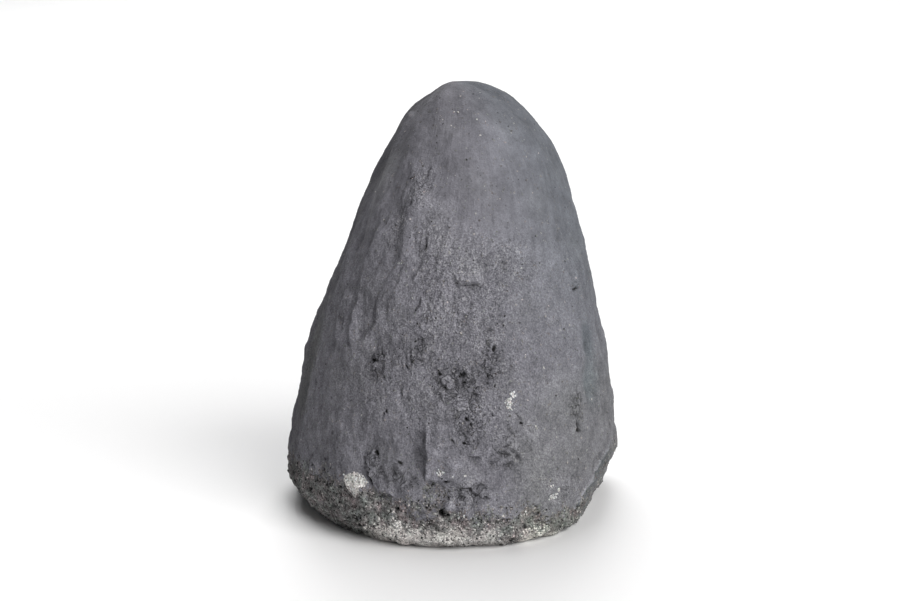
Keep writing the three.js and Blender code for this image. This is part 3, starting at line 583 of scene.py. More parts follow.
# Soot and painted shade in the rest of the hollows (the gravel's crevices, the gutter and between the
# flecks), as a share, and the tone of the whole, as a factor.
crevices = bare * smooth(-2.2 * gravel - 0.5) * (1 - 0.8 * pale.clip(0, 1))
between_flecks = window(14, 51.3, 2.0, 2.8) * smooth(1.6 * noise(skin, 1.1, 147) + 0.2)
soot = np.clip(soot + 0.6 * crevices + 0.6 * gutter + 0.5 * between_flecks - 0.08, 0, 0.95)
hollowness = np.clip(rise - blurred(blurred(rise, 4), 4), -0.5, 0.4)
tone = 1 + noises(skin, MOTTLE) + 0.05 * noise(stroke_place, [2.2, 9, 1], 135)
tone += 0.12 * bare * noise(skin, 3.0, 144) + bells(SHADES, 1, stray) + windows(PATCHES)
tone += 0.16 * sum(crack(*line) for line in SCRATCHES)
# Painted shade and highlight: the relief's hollows darker and its ridges lighter, a blurred dark halo round
# the pits and cracks, and a lighter line along the fold's crest.
tone += 0.32 * hollowness - 0.45 * blurred(soot, 3) - 0.25 * strip + 0.55 * fold
# Painted shade: the far left and far right flanks are darker, and the top is darker too.
tone -= 0.46 * smooth((-54 - BEARING) / 12) + 0.15 * smooth((BEARING - 38) / 16)
tone = np.clip(tone - 0.07 * smooth((LEVEL - 140) / 8), 0.55, 1.7)
olive = windows(OLIVE) + 0.3 * noise(skin, 16, 134)
olive = np.clip(olive + 0.65 * smooth((BEARING - 6) / 14) * smooth((64 - LEVEL) / 20), 0, 1)
cool = smooth((BEARING + 5) / 70) * smooth((LEVEL - 20) / 90)
cool = 0.8 * cool + 0.9 * strip + 0.8 * np.clip(windows(COOL_DENTS), 0, 1)

EASE = 0.6  # how far short of a limit the surface starts to slow down
CHIP_HEIGHT = 1.5  # of the chips along the foot's edge
CHIP_TOP = 4.0  # chips die out this high


def soft_stop(value, limit):
    """The value, bent so that it nears the limit but never passes it: past EASE short of the limit, what is
    over is passed on as EASE (1 - exp(-over / EASE))."""
    sign = np.sign(limit)
    over = np.maximum(sign * (value - limit) + EASE, 0)
    return value - sign * (over - EASE * (1 - np.exp(-over / EASE)))


def finished_skin():
    """The plain skin moved out along its normals by the rise. Near the axis the rise dies out and the apex
    sinks a little. On the roll the move keeps to the plane of the face, so that the arch's edge stays in
    it. Chips lift the foot's edge, and the box limits every side."""
    held = smooth(RADIUS / 9.0)
    move = skin_normal * (rise * held)[..., None]
    move[-1] = 0
    move[..., 2] -= 0.2 * (1 - held)
    towards_face = smooth(skin[..., 1] / FACE_Y)
    move[..., 1] *= 1 - towards_face
    moved = skin + move
    chips = CHIP_HEIGHT * np.clip(noises(skin, CHIPS), 0, 1) * (1 - towards_face)
    moved[..., 2] += chips * np.clip(1 - LEVEL / CHIP_TOP, 0, 1)
    moved[0, :, 2] = chips[0] * np.clip(1 - towards_face[0], 0, 1)
    for axis in (0, 1):
        moved[..., axis] = soft_stop(moved[..., axis], BOX_LOW[axis])
    moved[..., 0] = soft_stop(moved[..., 0], BOX_HIGH[0])
    moved[..., 2] = np.clip(soft_stop(moved[..., 2], HEIGHT), 0, HEIGHT)
    moved[-1, :, :2] = skin[-1, :, :2]
    return moved


finished = finished_skin()
finished_normal = grid_normals(finished)

MOUTH_HEIGHT = 62.0  # of the mouth's middle
MOUTH_LEFT = {"reach": 47.0, "power": 1.36}
MOUTH_RIGHT = {"reach": 45.0, "power": 1.8}
MOUTH_RISE = 79.0
MOUTH_SILL = {"drop": 45.0, "power": 2.5}
MOUTH_RIPPLE = 0.02
HOLLOW_DEPTH = 56.0
HOLLOW_POWER = 2.4
HOLLOW_SIDE = 20.0  # given to the hollow's wall as its distance from the outer edge, so that no cement shows
SEAT_GAP = 0.12  # between the stone and the bed of the crystals
FACE_RINGS = 4
HOLLOW_RINGS = 5
FOOT_RINGS = 2
FOOT_CENTRE = np.array([0.0, -25.0, 0.0])
WELD = 0.002  # points nearer than this become one
SHARP_ANGLE = math.radians(50)  # between faces, above which their shared edge is sharp


def mouth_reach(angle):
    """Distance from the mouth's middle to its edge at a true angle: a superellipse of one power above on
    either side and another below, rippled by MOUTH_RIPPLE, tabled finely and read back by angle."""
    turn = np.linspace(-np.pi, np.pi, FINE_STEPS + 1)
    right, above = np.cos(turn) > 0, np.sin(turn) > 0
    power = np.where(above, np.where(right, MOUTH_RIGHT["power"], MOUTH_LEFT["power"]), MOUTH_SILL["power"])
    ripple = 1 + MOUTH_RIPPLE * (np.sin(3 * turn + 1) + np.sin(7 * turn + 0.5))
    x = np.where(right, MOUTH_RIGHT["reach"], MOUTH_LEFT["reach"]) * signed_power(np.cos(turn), 2 / power)
    z = np.where(above, MOUTH_RISE, MOUTH_SILL["drop"]) * signed_power(np.sin(turn), 2 / power)
    table = np.unwrap(np.arctan2(z, x))
    return np.interp(angle, table, np.hypot(x, z) * ripple, period=2 * np.pi)


def hollow(angle, deep, inset):
    """Point of the hollow's wall, drawn in by inset, at an angle about the mouth's middle: it narrows as
    (1 - deep^2.4)^(1 / 2.4) from the mouth, where deep is 0, to the bottom, where deep is 1."""
    narrowing = np.clip(1 - deep**HOLLOW_POWER, 0, 1) ** (1 / HOLLOW_POWER)
    reach = (mouth_reach(angle) - inset) * narrowing
    return np.stack([reach * np.cos(angle), FACE_Y - (HOLLOW_DEPTH - inset) * deep + 0 * reach,
                     MOUTH_HEIGHT + reach * np.sin(angle)], -1)


def hollow_grid(angle, turn, inset):
    """Grid of the hollow's wall, rows by angles. A row at a turn, from 0 to a quarter turn, lies as deep as
    sin(turn)^(2 / 2.4), which spaces the rows about evenly along the wall."""
    return hollow(angle + 0 * turn, np.sin(turn) ** (2 / HOLLOW_POWER) + 0 * angle, inset)


def rings_of(start, end, count):
    """Closed rings that pass from one loop of points to another in equal steps."""
    share = np.linspace(0, 1, count + 1)[:, None, None]
    return start[None] * (1 - share) + end[None] * share


def ring_faces(rows, columns, closed=True):
    """Corner numbers of the four-sided faces of a grid, as two triangles each. A closed grid joins its last
    column to its first."""
    row, column = np.meshgrid(np.arange(rows - 1), np.arange(columns - (not closed)), indexing="ij")
    a = row * columns + column
    b = row * columns + (column + 1) % columns
    corners = np.stack([a, b, b + columns, a, b + columns, a + columns], -1)
    return corners.reshape(-1, 3)


def part(points, faces, material=0, turned=False, **values):
    """Part of a mesh: its points, its triangles, the number of its material, whether its faces turn round,
    and its named values."""
    return {"points": points, "faces": faces[:, ::-1] if turned else faces, "material": material,
            "values": values}


def build_mesh(name, parts, materials, flat=False):
    """Joins parts into one closed mesh, moved from the axis to its place in the frame. Faces that lose a
    corner as points are welded are dropped. A value that a part does not name is 0 on it."""
    points = np.concatenate([one["points"].reshape(-1, 3) for one in parts])
    starts = np.cumsum([0] + [one["points"].reshape(-1, 3).shape[0] for one in parts[:-1]])
    faces = np.concatenate([one["faces"] + start for one, start in zip(parts, starts)])
    slots = np.concatenate([np.full(len(one["faces"]), one["material"]) for one in parts])
    cells = np.round(points / WELD).astype(np.int64)
    _, kept, merged = np.unique(cells, axis=0, return_index=True, return_inverse=True)
    faces = merged.reshape(-1)[faces]
    whole = (faces[:, 0] != faces[:, 1]) & (faces[:, 1] != faces[:, 2]) & (faces[:, 2] != faces[:, 0])
    faces, slots = faces[whole], slots[whole]
    placed = (points[kept] + AXIS_PLACE) / 1000
    mesh = bpy.data.meshes.new(name)
    mesh.vertices.add(len(placed))
    mesh.vertices.foreach_set("co", placed.astype(np.float32).ravel())
    mesh.loops.add(faces.size)
    mesh.loops.foreach_set("vertex_index", faces.astype(np.int32).ravel())
    mesh.polygons.add(len(faces))
    mesh.polygons.foreach_set("loop_start", np.arange(0, faces.size, 3, dtype=np.int32))
    mesh.polygons.foreach_set("material_index", slots.astype(np.int32))
    mesh.update(calc_edges=True)
    mesh.validate()
    for key in parts[0]["values"]:
        values = [np.broadcast_to(one["values"].get(key, 0.0), one["points"].shape[:-1]) for one in parts]
        value = np.concatenate([one.ravel() for one in values])[kept]
        mesh.attributes.new(key, "FLOAT", "POINT").data.foreach_set("value", value.astype(np.float32))
    mesh.polygons.foreach_set("use_smooth", np.full(len(faces), not flat))
    if not flat:
        mesh.set_sharp_from_angle(angle=SHARP_ANGLE)
    for material in materials:
        mesh.materials.append(material)
    piece = bpy.data.objects.new(name, mesh)
    bpy.context.scene.collection.objects.link(piece)
    return piece


def grey(level, warmth=0.0, violet=0.0):
    """A near-grey colour: warmth lifts red over blue, and violet drops green."""
    return (level * (1 + warmth), level * (1 - violet), level * (1 - warmth), 1.0)


class Wire:
    """What a shader node gives at each point. Sums, products and comparisons with a number or another wire
    are nodes too. A comparison gives 1 where it is true and 0 elsewhere."""

    def __init__(self, look, socket):
        self.look = look
        self.socket = socket

    def step(self, operation, other=0.0, held=False):
        """One step of arithmetic. Its result is kept from 0 to 1 where it is held."""
        return self.look.wire("Math", 0, {0: self, 1: other}, operation=operation, use_clamp=held)

    def __add__(self, other):
        """The sum."""
        return self.step("ADD", other)

    def __sub__(self, other):
        """The difference."""
        return self.step("SUBTRACT", other)

    def __mul__(self, other):
        """The product."""
        return self.step("MULTIPLY", other)

    def __lt__(self, other):
        """Whether it is less."""
        return self.step("LESS_THAN", other)

    def __gt__(self, other):
        """Whether it is more."""
        return self.step("GREATER_THAN", other)

    def __abs__(self):
        """Its size, without its sign."""
        return self.step("ABSOLUTE")


class Look:
    """A material in the making. Textures read the piece's object coordinates, which are in metres."""

    def __init__(self, name):
        self.material = bpy.data.materials.new(name)
        self.material.use_nodes = True
        self.tree = self.material.node_tree
        self.tree.nodes.clear()
        self.place = self.wire("TexCoord", "Object")

    def node(self, kind, inputs=None, **settings):
        """Adds a shader node. An input is given a constant, or a wire to be linked from."""
        made = self.tree.nodes.new("ShaderNode" + kind)
        for key, value in settings.items():
            setattr(made, key, value)
        for key, value in (inputs or {}).items():
            if isinstance(value, Wire):
                self.tree.links.new(value.socket, made.inputs[key])
            else:
                made.inputs[key].default_value = value
        return made

    def wire(self, kind, output, inputs=None, **settings):
        """Adds a shader node and gives one of its outputs."""
        return Wire(self, self.node(kind, inputs, **settings).outputs[output])

    def value(self, name):
        """The piece's own named value at each point."""
        return self.wire("Attribute", "Fac", attribute_name=name)

    def noise(self, scale, detail=2.0, roughness=0.5, distortion=0.0, place=None):
        """Noise about 0.5, with the given number of waves to the metre."""
        return self.wire("TexNoise", "Fac", {"Vector": place or self.place, "Scale": scale, "Detail": detail,
                                             "Roughness": roughness, "Distortion": distortion})

    def cells(self, scale):
        """Random cells, the given number to the metre: the distance from the cell's middle, and three random
        numbers for each cell."""
        made = self.node("TexVoronoi", {"Vector": self.place, "Scale": scale})
        picks = self.node("SeparateColor", {"Color": Wire(self, made.outputs["Color"])})
        return Wire(self, made.outputs["Distance"]), [Wire(self, pick) for pick in picks.outputs]

    def lines(self, noise, sharpness):
        """Thin lines where a noise is near 0.5: 1 - sharpness |noise - 0.5|, kept from 0 to 1."""
        return (abs(noise - 0.5) * -sharpness).step("ADD", 1.0, held=True)

    def blend(self, share, first, second, mode="MIX"):
        """Two colours blended by a share."""
        return self.wire("Mix", 2, {0: share, 6: first, 7: second}, data_type="RGBA", blend_type=mode)

    def tinted(self, colour, tint, share=1.0):
        """A colour multiplied by a tint, as far as the share goes."""
        return self.blend(share, colour, tint, "MULTIPLY")

    def ramp(self, share, stops, interpolation="LINEAR"):
        """Colour read off a ramp with stops of [place, colour]."""
        made = self.node("ValToRGB", {"Fac": share})
        band = made.color_ramp
        band.interpolation = interpolation
        while len(band.elements) < len(stops):
            band.elements.new(1.0)
        for element, (place, colour) in zip(band.elements, stops):
            element.position = place
            element.color = colour
        return Wire(self, made.outputs["Color"])

    def bump(self, height, strength, distance, **under):
        """Normals bent by a height, over those of an earlier bump where one is given."""
        inputs = {"Height": height, "Strength": strength, "Distance": distance, **under}
        return self.wire("Bump", "Normal", inputs)

    def finish(self, inputs, **inside):
        """Ends the tree in one surface shader, and a volume shader if one is given. Gives the material."""
        self.node("OutputMaterial", {"Surface": self.wire("BsdfPrincipled", 0, inputs), **inside})
        return self.material


def plaster_material():
    """Matt dark cement, brushed on by hand: mottled grey with fine light and dark sand in it, stronger
    where the coarse value rises, and rare pale specks. Where the bare value rises it is gravelly aggregate
    of brown, grey, black and cream grains, and where the pale value rises a sandy lime deposit. Soot and
    painted shade darken the pits, cracks and wrinkles."""
    look = Look("hand_plastered_cement")
    coarse_share = look.value("coarse")
    fine, middle = look.noise(1700, 2, 0.6), look.noise(620, 3, 0.6)
    patchy, broad = look.noise(210, 3, 0.6), look.noise(55, 3, 0.6)
    height = look.wire("SeparateXYZ", "Z", {"Vector": look.place})
    along = look.wire("CombineXYZ", 0, {"X": look.value("stroke"), "Z": height * 0.1})
    streak = look.noise(750, 4, 0.65, place=along)
    curls = look.noise(330, 1.5, 0.5, 0.8)
    curl = look.lines(curls, 26.0) * look.ramp(patchy, [[0.5, grey(0.0)], [0.6, grey(1.0)]])
    # The scrawls are thin dark lines of painted shade in the creases of the scribbled wrinkles.
    scrawled = (curls * 2.5 + look.value("scribble") * 2.2).step("SUBTRACT", 2.0, held=True)
    scrawl = look.lines(look.noise(250, 2.5, 0.6, 1.2), 24.0) * scrawled

    sand = fine * 0.74 + middle * 0.26 - 0.5
    shade = sand * (coarse_share * 0.85 + 0.25) + coarse_share * 0.055 + curl * coarse_share * 0.09
    shade = shade + broad * 0.20 + patchy * 0.16 + streak * 0.13 + 0.255
    coat = look.ramp(shade, [[0.25, grey(0.06, -0.03, 0.05)], [0.42, grey(0.125, -0.055, 0.07)],
                             [0.50, grey(0.16, -0.055, 0.07)], [0.60, grey(0.21, -0.053, 0.065)],
                             [0.78, grey(0.34, -0.02, 0.03)]])
    coat = look.tinted(coat, (0.84, 0.93, 0.93, 1.0), look.value("cool"))
    speck_distance, speck_picks = look.cells(520)
    coat = look.blend((speck_picks[0] > 0.997) * (speck_distance < 0.1), coat, grey(0.29))

    distance, picks = look.cells(1700)
    gravel_colour = look.ramp(picks[0], [
        [0.0, grey(0.025, 0.02)], [0.08, grey(0.10, 0.02)], [0.26, grey(0.175)], [0.62, grey(0.235)],
        [0.86, grey(0.33, 0.01)], [0.965, grey(0.55, 0.02)]], "CONSTANT")
    lime_colour = look.ramp(picks[0], [
        [0.0, grey(0.10, 0.03)], [0.06, grey(0.32, 0.03)], [0.20, grey(0.46, 0.03)],
        [0.50, grey(0.56, 0.03)], [0.82, grey(0.66, 0.025)], [0.96, grey(0.76, 0.02)]], "CONSTANT")
    tint = look.ramp(patchy, [[0.36, (0.93, 1.0, 0.96, 1)], [0.5, (1.02, 0.99, 0.98, 1)],
                              [0.66, (1.11, 0.95, 0.97, 1)]])
    grimy = look.ramp(broad, [[0.35, grey(0.85)], [0.6, grey(1.05)]])
    gravel_colour = look.tinted(look.tinted(gravel_colour, tint), grimy)
    lime_colour = look.tinted(lime_colour, tint, 0.3)
    bare_grain = picks[1] < (middle * 0.8 + (look.value("bare") - 0.4))
    whole = look.blend(bare_grain, coat, gravel_colour)
    whole = look.blend(picks[2] < look.value("pale"), whole, lime_colour)
    whole = look.tinted(whole, (0.96, 0.985, 0.91, 1.0), look.value("olive"))
    whole = look.tinted(whole, look.value("tone"))
    # Soot and painted shade, with the scrawls, blend the colour towards near black.
    soot_share = (middle * 3.2 + look.value("soot") * 2.6).step("SUBTRACT", 2.45, held=True)
    whole = look.blend(soot_share.step("MAXIMUM", scrawl * 0.6), whole, grey(0.025))

    strength = coarse_share * 1.2 + 0.35
    sand_rise = fine * strength - (distance - 0.8) * bare_grain * 1.3
    lump_rise = middle * strength + streak * 0.4 - scrawl * 0.8 + curl * coarse_share * 0.35
    normal = look.bump(lump_rise, 1.0, 0.00065, Normal=look.bump(sand_rise, 1.0, 0.00035))
    return look.finish({"Base Color": whole, "Roughness": middle * 0.2 + 0.78, "Specular IOR Level": 0.3,
                        "Normal": normal})


RIND_WIDTH = 13.0  # from the mouth to where the basalt starts to be even
CEMENT_WIDTH = 1.4  # least width of the cement along the outer edge
CEMENT_SPREAD = 3.2  # how much wider it gets


def agate_material():
    """Polished cut through the rind. Bands follow the mouth: quartz roots, white and blue-grey agate, then
    the dark fine basalt with filled bubbles, and last the cement, a few millimetres thick, along the outer
    edge."""
    look = Look("polished_agate_rind")
    wobble = look.noise(90, 4) * 3.0 - 1.5
    share = (look.value("from_mouth") + wobble).step("DIVIDE", RIND_WIDTH)
    bands = look.ramp(share, [
        [0.0, (0.50, 0.47, 0.54, 1)], [0.07, (0.58, 0.56, 0.59, 1)], [0.15, (0.62, 0.61, 0.59, 1)],
        [0.19, (0.38, 0.40, 0.42, 1)], [0.24, (0.55, 0.55, 0.54, 1)], [0.30, (0.25, 0.28, 0.31, 1)],
        [0.34, (0.45, 0.46, 0.46, 1)], [0.41, (0.17, 0.20, 0.22, 1)], [0.46, (0.34, 0.34, 0.31, 1)],
        [0.52, (0.12, 0.14, 0.13, 1)], [0.57, (0.20, 0.20, 0.15, 1)], [0.62, (0.058, 0.065, 0.053, 1)],
        [0.85, (0.042, 0.043, 0.042, 1)], [1.0, (0.05, 0.05, 0.05, 1)]])
    basalt, cloudy = look.noise(900, 3, 0.7), look.noise(120, 4, 0.6)
    bands = look.tinted(bands, look.ramp(cloudy, [[0.35, grey(0.62)], [0.65, grey(1.15)]]), 0.7)
    bands = look.tinted(bands, look.ramp(basalt, [[0.35, grey(0.5)], [0.65, grey(1.2)]]), 0.6)
    distance, picks = look.cells(330)
    bubble = (distance < (picks[1] * 0.5 - 0.22)) * (share > 0.63)
    filled = look.ramp(picks[0], [[0.0, grey(0.02)], [0.5, (0.05, 0.065, 0.052, 1)],
                                  [0.93, grey(0.2, 0.02)]], "CONSTANT")
    bands = look.blend(bubble, bands, filled)
    is_cement = look.value("from_edge") < (look.noise(160, 3) * CEMENT_SPREAD + CEMENT_WIDTH)
    cement = look.ramp(basalt, [[0.3, grey(0.09)], [0.5, grey(0.15)], [0.7, grey(0.26)]])
    whole = look.blend(is_cement, bands, cement)
    return look.finish({"Base Color": whole, "Roughness": is_cement * 0.4 + 0.13, "Coat Weight": 0.25,
                        "Coat Roughness": 0.08, "Normal": look.bump(basalt, 0.15, 0.0001)})


def sawn_foot_material():
    """Sawn, unpolished underside: dark basalt and cement with straight saw marks and pale dust in them."""
    look = Look("sawn_foot")
    marks = look.wire("TexWave", "Fac", {"Vector": look.place, "Scale": 260, "Distortion": 1.5, "Detail": 2},
                      bands_direction="X")
    shade = marks * 0.15 + look.noise(700, 4, 0.7)
    whole = look.ramp(shade, [[0.35, grey(0.05)], [0.55, grey(0.12, 0.02)], [0.8, grey(0.26, 0.04)]])
    return look.finish({"Base Color": whole, "Roughness": 0.85, "Normal": look.bump(shade, 0.6, 0.0002)})


def stone_parts():
    """The stone's closed surface: the plastered skin, the sawn face from the arch to the mouth, the hollow's
    wall, and the sawn foot. The foot line joins the two lower ends of the skin along the face."""
    plaster, rind, sawn = 0, 1, 2
    rows, columns = finished.shape[:2]
    right_edge, left_edge = finished[:, 0], finished[:, -1]
    foot_run = np.linspace(left_edge[0], right_edge[0], FOOT_LINE + 1)[1:-1]
    loop = np.concatenate([right_edge, left_edge[-2::-1], foot_run])
    angle = np.arctan2(loop[:, 2] - MOUTH_HEIGHT, loop[:, 0])
    mouth = hollow(angle, np.zeros_like(angle), -SEAT_GAP)
    face = rings_of(loop, mouth, FACE_RINGS)
    wall = hollow_grid(angle[None, :], np.linspace(0, np.pi / 2, HOLLOW_RINGS + 1)[:, None], -SEAT_GAP)
    wall[-1, :, 0], wall[-1, :, 2] = 0, MOUTH_HEIGHT
    foot_loop = np.concatenate([finished[0], foot_run])
    foot = rings_of(foot_loop, np.broadcast_to(FOOT_CENTRE, foot_loop.shape), FOOT_RINGS)
    foot[1:, :, 2] = 0
    return [
        part(finished, ring_faces(rows, columns, False), plaster, True, bare=bare, pale=pale, soot=soot,
             cool=cool, coarse=coarse, stroke=stroke / 1000, tone=tone, olive=olive, scribble=scribble,
             from_mouth=0.0, from_edge=0.0),
        part(face, ring_faces(FACE_RINGS + 1, len(loop)), rind, True,
             from_mouth=np.linalg.norm(face - mouth[None], axis=-1),
             from_edge=np.linalg.norm(face - loop[None], axis=-1)),
        part(wall, ring_faces(HOLLOW_RINGS + 1, len(loop)), rind, True, from_edge=HOLLOW_SIDE),
        part(foot, ring_faces(FOOT_RINGS + 1, len(foot_loop)), sawn),
    ]


stone_materials = [plaster_material(), agate_material(), sawn_foot_material()]
stone = build_mesh("coated_stone", stone_parts(), stone_materials)
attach(stone, "root")
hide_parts("geode_stone")

# ---------------------------------------------------------------------------------------------------------
# Loose-looking grains of the bare aggregate: sand and grit of basalt, feldspar and quartz, up to about
# 1 mm, caught in the cement where the plaster stops short of the foot. Each is a small uneven stone of
# twenty faces, half sunk in the surface.

GRAIN_SEED = 7
GRIT_COUNT = 3600
GRIT_SMALLEST, GRIT_LARGEST = 0.14, 0.55  # from middle to corner, roughly
GRIT_SUNK = 0.3  # share of its size that a grain's middle is sunk
GRIT_STRAY = 0.15
DARK_SHARE, DARK_SHADE = 0.08, 0.02  # share of black grains, and their shade
BACK_LIMIT = 4.0  # no grain sits farther forward than this
FOOT_LIMIT = 0.6  # nor lower
BOX_MARGIN = 0.02  # grains keep this far inside the stone's box
GOLDEN = (1 + 5**0.5) / 2
GRAIN_CORNERS = np.array([[-1, GOLDEN, 0], [1, GOLDEN, 0], [-1, -GOLDEN, 0], [1, -GOLDEN, 0],
                          [0, -1, GOLDEN], [0, 1, GOLDEN], [0, -1, -GOLDEN], [0, 1, -GOLDEN],
                          [GOLDEN, 0, -1], [GOLDEN, 0, 1], [-GOLDEN, 0, -1], [-GOLDEN, 0, 1]])
GRAIN_CORNERS /= np.linalg.norm(GRAIN_CORNERS[0])
GRAIN_FACES = np.array([[0, 11, 5], [0, 5, 1], [0, 1, 7], [0, 7, 10], [0, 10, 11], [1, 5, 9], [5, 11, 4],
                        [11, 10, 2], [10, 7, 6], [7, 1, 8], [3, 9, 4], [3, 4, 2], [3, 2, 6], [3, 6, 8],
                        [3, 8, 9], [4, 9, 5], [2, 4, 11], [6, 2, 10], [8, 6, 7], [9, 8, 1]])


def random_turns(count, dice):
    """Random rotations, from random unit quaternions."""
    q = dice.normal(size=(count, 4))
    w, x, y, z = (q / np.linalg.norm(q, axis=1, keepdims=True)).T
    return np.stack([np.stack([1 - 2 * (y * y + z * z), 2 * (x * y - z * w), 2 * (x * z + y * w)], -1),
                     np.stack([2 * (x * y + z * w), 1 - 2 * (x * x + z * z), 2 * (y * z - x * w)], -1),
                     np.stack([2 * (x * z - y * w), 2 * (y * z + x * w), 1 - 2 * (x * x + y * y)], -1)], 1)


def strewn_grains(weights, count, smallest, largest, stand_off, dice):
    """Twelve-cornered grains on vertices of the skin drawn at random by weight, none twice. Most are small:
    sizes run from smallest to largest by a random number to the power 2.2. Each corner's distance from the
    middle is the size times a random share from 0.7 to 1.2, squeezed along two axes and turned at random.
    The middle stands off by a share of the size. Gives their corners and the vertices drawn."""
    drawn = dice.choice(weights.size, size=count, replace=False, p=weights.ravel() / weights.sum())
    sizes = smallest + (largest - smallest) * dice.random(count) ** 2.2
    outward = finished_normal.reshape(-1, 3)[drawn]
    middles = finished.reshape(-1, 3)[drawn] + outward * (sizes * stand_off)[:, None]
    middles += GRIT_STRAY * dice.normal(size=middles.shape)
    shares = 0.7 + 0.5 * dice.random((count, 12, 1))
    wide, flat = 0.75 + 0.25 * dice.random(count), 0.5 + 0.4 * dice.random(count)
    squeeze = np.stack([np.ones(count), wide, flat], -1)
    shapes = GRAIN_CORNERS[None] * shares * squeeze[:, None, :] * sizes[:, None, None]
    return middles[:, None, :] + np.einsum("nij,nkj->nki", random_turns(count, dice), shapes), drawn


def grain_mesh(name, points, shade, material):
    """One mesh of many grains, kept inside the box of the stone."""
    points = np.clip(points, BOX_LOW + BOX_MARGIN, BOX_HIGH - BOX_MARGIN)
    faces = (GRAIN_FACES[None] + 12 * np.arange(len(points))[:, None, None]).reshape(-1, 3)
    grains = part(points.reshape(-1, 3), faces, shade=np.repeat(shade, 12))
    return build_mesh(name, [grains], [material], flat=True)


def grit_material():
    """Grains of several minerals: the shade value picks black, brown, grey, tan or cream for each grain,
    with a fine mottle over it."""
    look = Look("mixed_grit")
    whole = look.ramp(look.noise(2500) * 0.12 + look.value("shade"), [
        [0.06, grey(0.012)], [0.2, grey(0.045, 0.05)], [0.4, grey(0.11, 0.01)], [0.6, grey(0.19, 0.01)],
        [0.78, grey(0.34, 0.02)], [1.0, grey(0.62, 0.02)]])
    return look.finish({"Base Color": whole, "Roughness": 0.7, "Specular IOR Level": 0.4})


dice = np.random.default_rng(GRAIN_SEED)
visible_back = (skin[..., 1] < BACK_LIMIT) & (LEVEL > FOOT_LIMIT)
grain_weight = (bare**2 + 0.5 * pale) * visible_back
grit, grit_at = strewn_grains(grain_weight, GRIT_COUNT, GRIT_SMALLEST, GRIT_LARGEST, -GRIT_SUNK, dice)
grit_shade = 0.38 + 0.3 * dice.random(GRIT_COUNT) ** 1.4 + 0.2 * pale.ravel()[grit_at]
grit_shade = np.clip(np.where(dice.random(GRIT_COUNT) < DARK_SHARE, DARK_SHADE, grit_shade), 0, 0.88)
foot_grit = grain_mesh("foot_grit", grit, grit_shade, grit_material())
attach(foot_grit, "root")

# ---------------------------------------------------------------------------------------------------------
# Pale flecks: splinters of quartz and lime pressed into the cement while it was wet, in a few loose
# clusters low on the back. They are grains as above, whiter and glassier.

FLECK_COUNT = 190
FLECK_SMALLEST, FLECK_LARGEST = 0.16, 0.6
FLECK_EDGE = 0.05  # a cluster holds no flecks where it is weaker than this
FLECK_CLUSTERS = [  # bearing, height, half width, half height, share of the flecks
    [14.5, 53.2, 0.7, 1.3, 0.7], [13.6, 50.2, 1.3, 1.9, 0.9], [23.6, 20, 0.6, 0.5, 0.6],
    [26.1, 18, 0.5, 1.0, 0.6], [24.2, 15.8, 1.5, 0.9, 2.0], [-5, 28.2, 1.0, 0.9, 1.5],
    [1, 27, 0.3, 0.4, 0.5], [-27.6, 23, 4.6, 1.8, 0.4], [-28.2, 20, 2.4, 2.2, 0.3],
    [0, 13.2, 1.6, 1.0, 0.4], [28.1, 10, 0.5, 0.4, 0.4], [25.4, 11, 0.4, 0.4, 0.3],
    [-2, 27.3, 0.8, 0.4, 0.3], [16, 12, 2.2, 1.0, 0.15], [1.5, 147, 2.0, 0.4, 0.06],
]


def fleck_material():
    """Milky quartz splinters: near white, slightly clear and a little glossy."""
    look = Look("milky_quartz_fleck")
    whole = look.ramp(look.noise(1800), [[0.3, (0.46, 0.47, 0.46, 1)], [0.7, (0.80, 0.81, 0.80, 1)]])
    return look.finish({"Base Color": whole, "Roughness": 0.3, "Subsurface Weight": 0.1,
                        "Subsurface Scale": 0.0005})


fleck_weight = windows(FLECK_CLUSTERS) * visible_back
fleck_weight[fleck_weight < FLECK_EDGE] = 0
flecks, _ = strewn_grains(fleck_weight, FLECK_COUNT, FLECK_SMALLEST, FLECK_LARGEST, 0.0, dice)
pale_flecks = grain_mesh("pale_flecks", flecks, np.ones(FLECK_COUNT), fleck_material())
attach(pale_flecks, "root")

# ---------------------------------------------------------------------------------------------------------
# The bed of the crystal crust: a layer of massive quartz, 4 mm thick, that grew on the agate. It is milky
# at the stone and violet under the points. Its edge is sawn and polished flush with the face.

BED_THICKNESS = 4.0
BED_COLUMNS = 260
BED_ROWS = 26
BED_BACK_ROWS = 8
BED_EDGE_ROWS = 3
BED_LUMPS = [[5.0, 0.5, 121]]  # size, height, stream of their noise


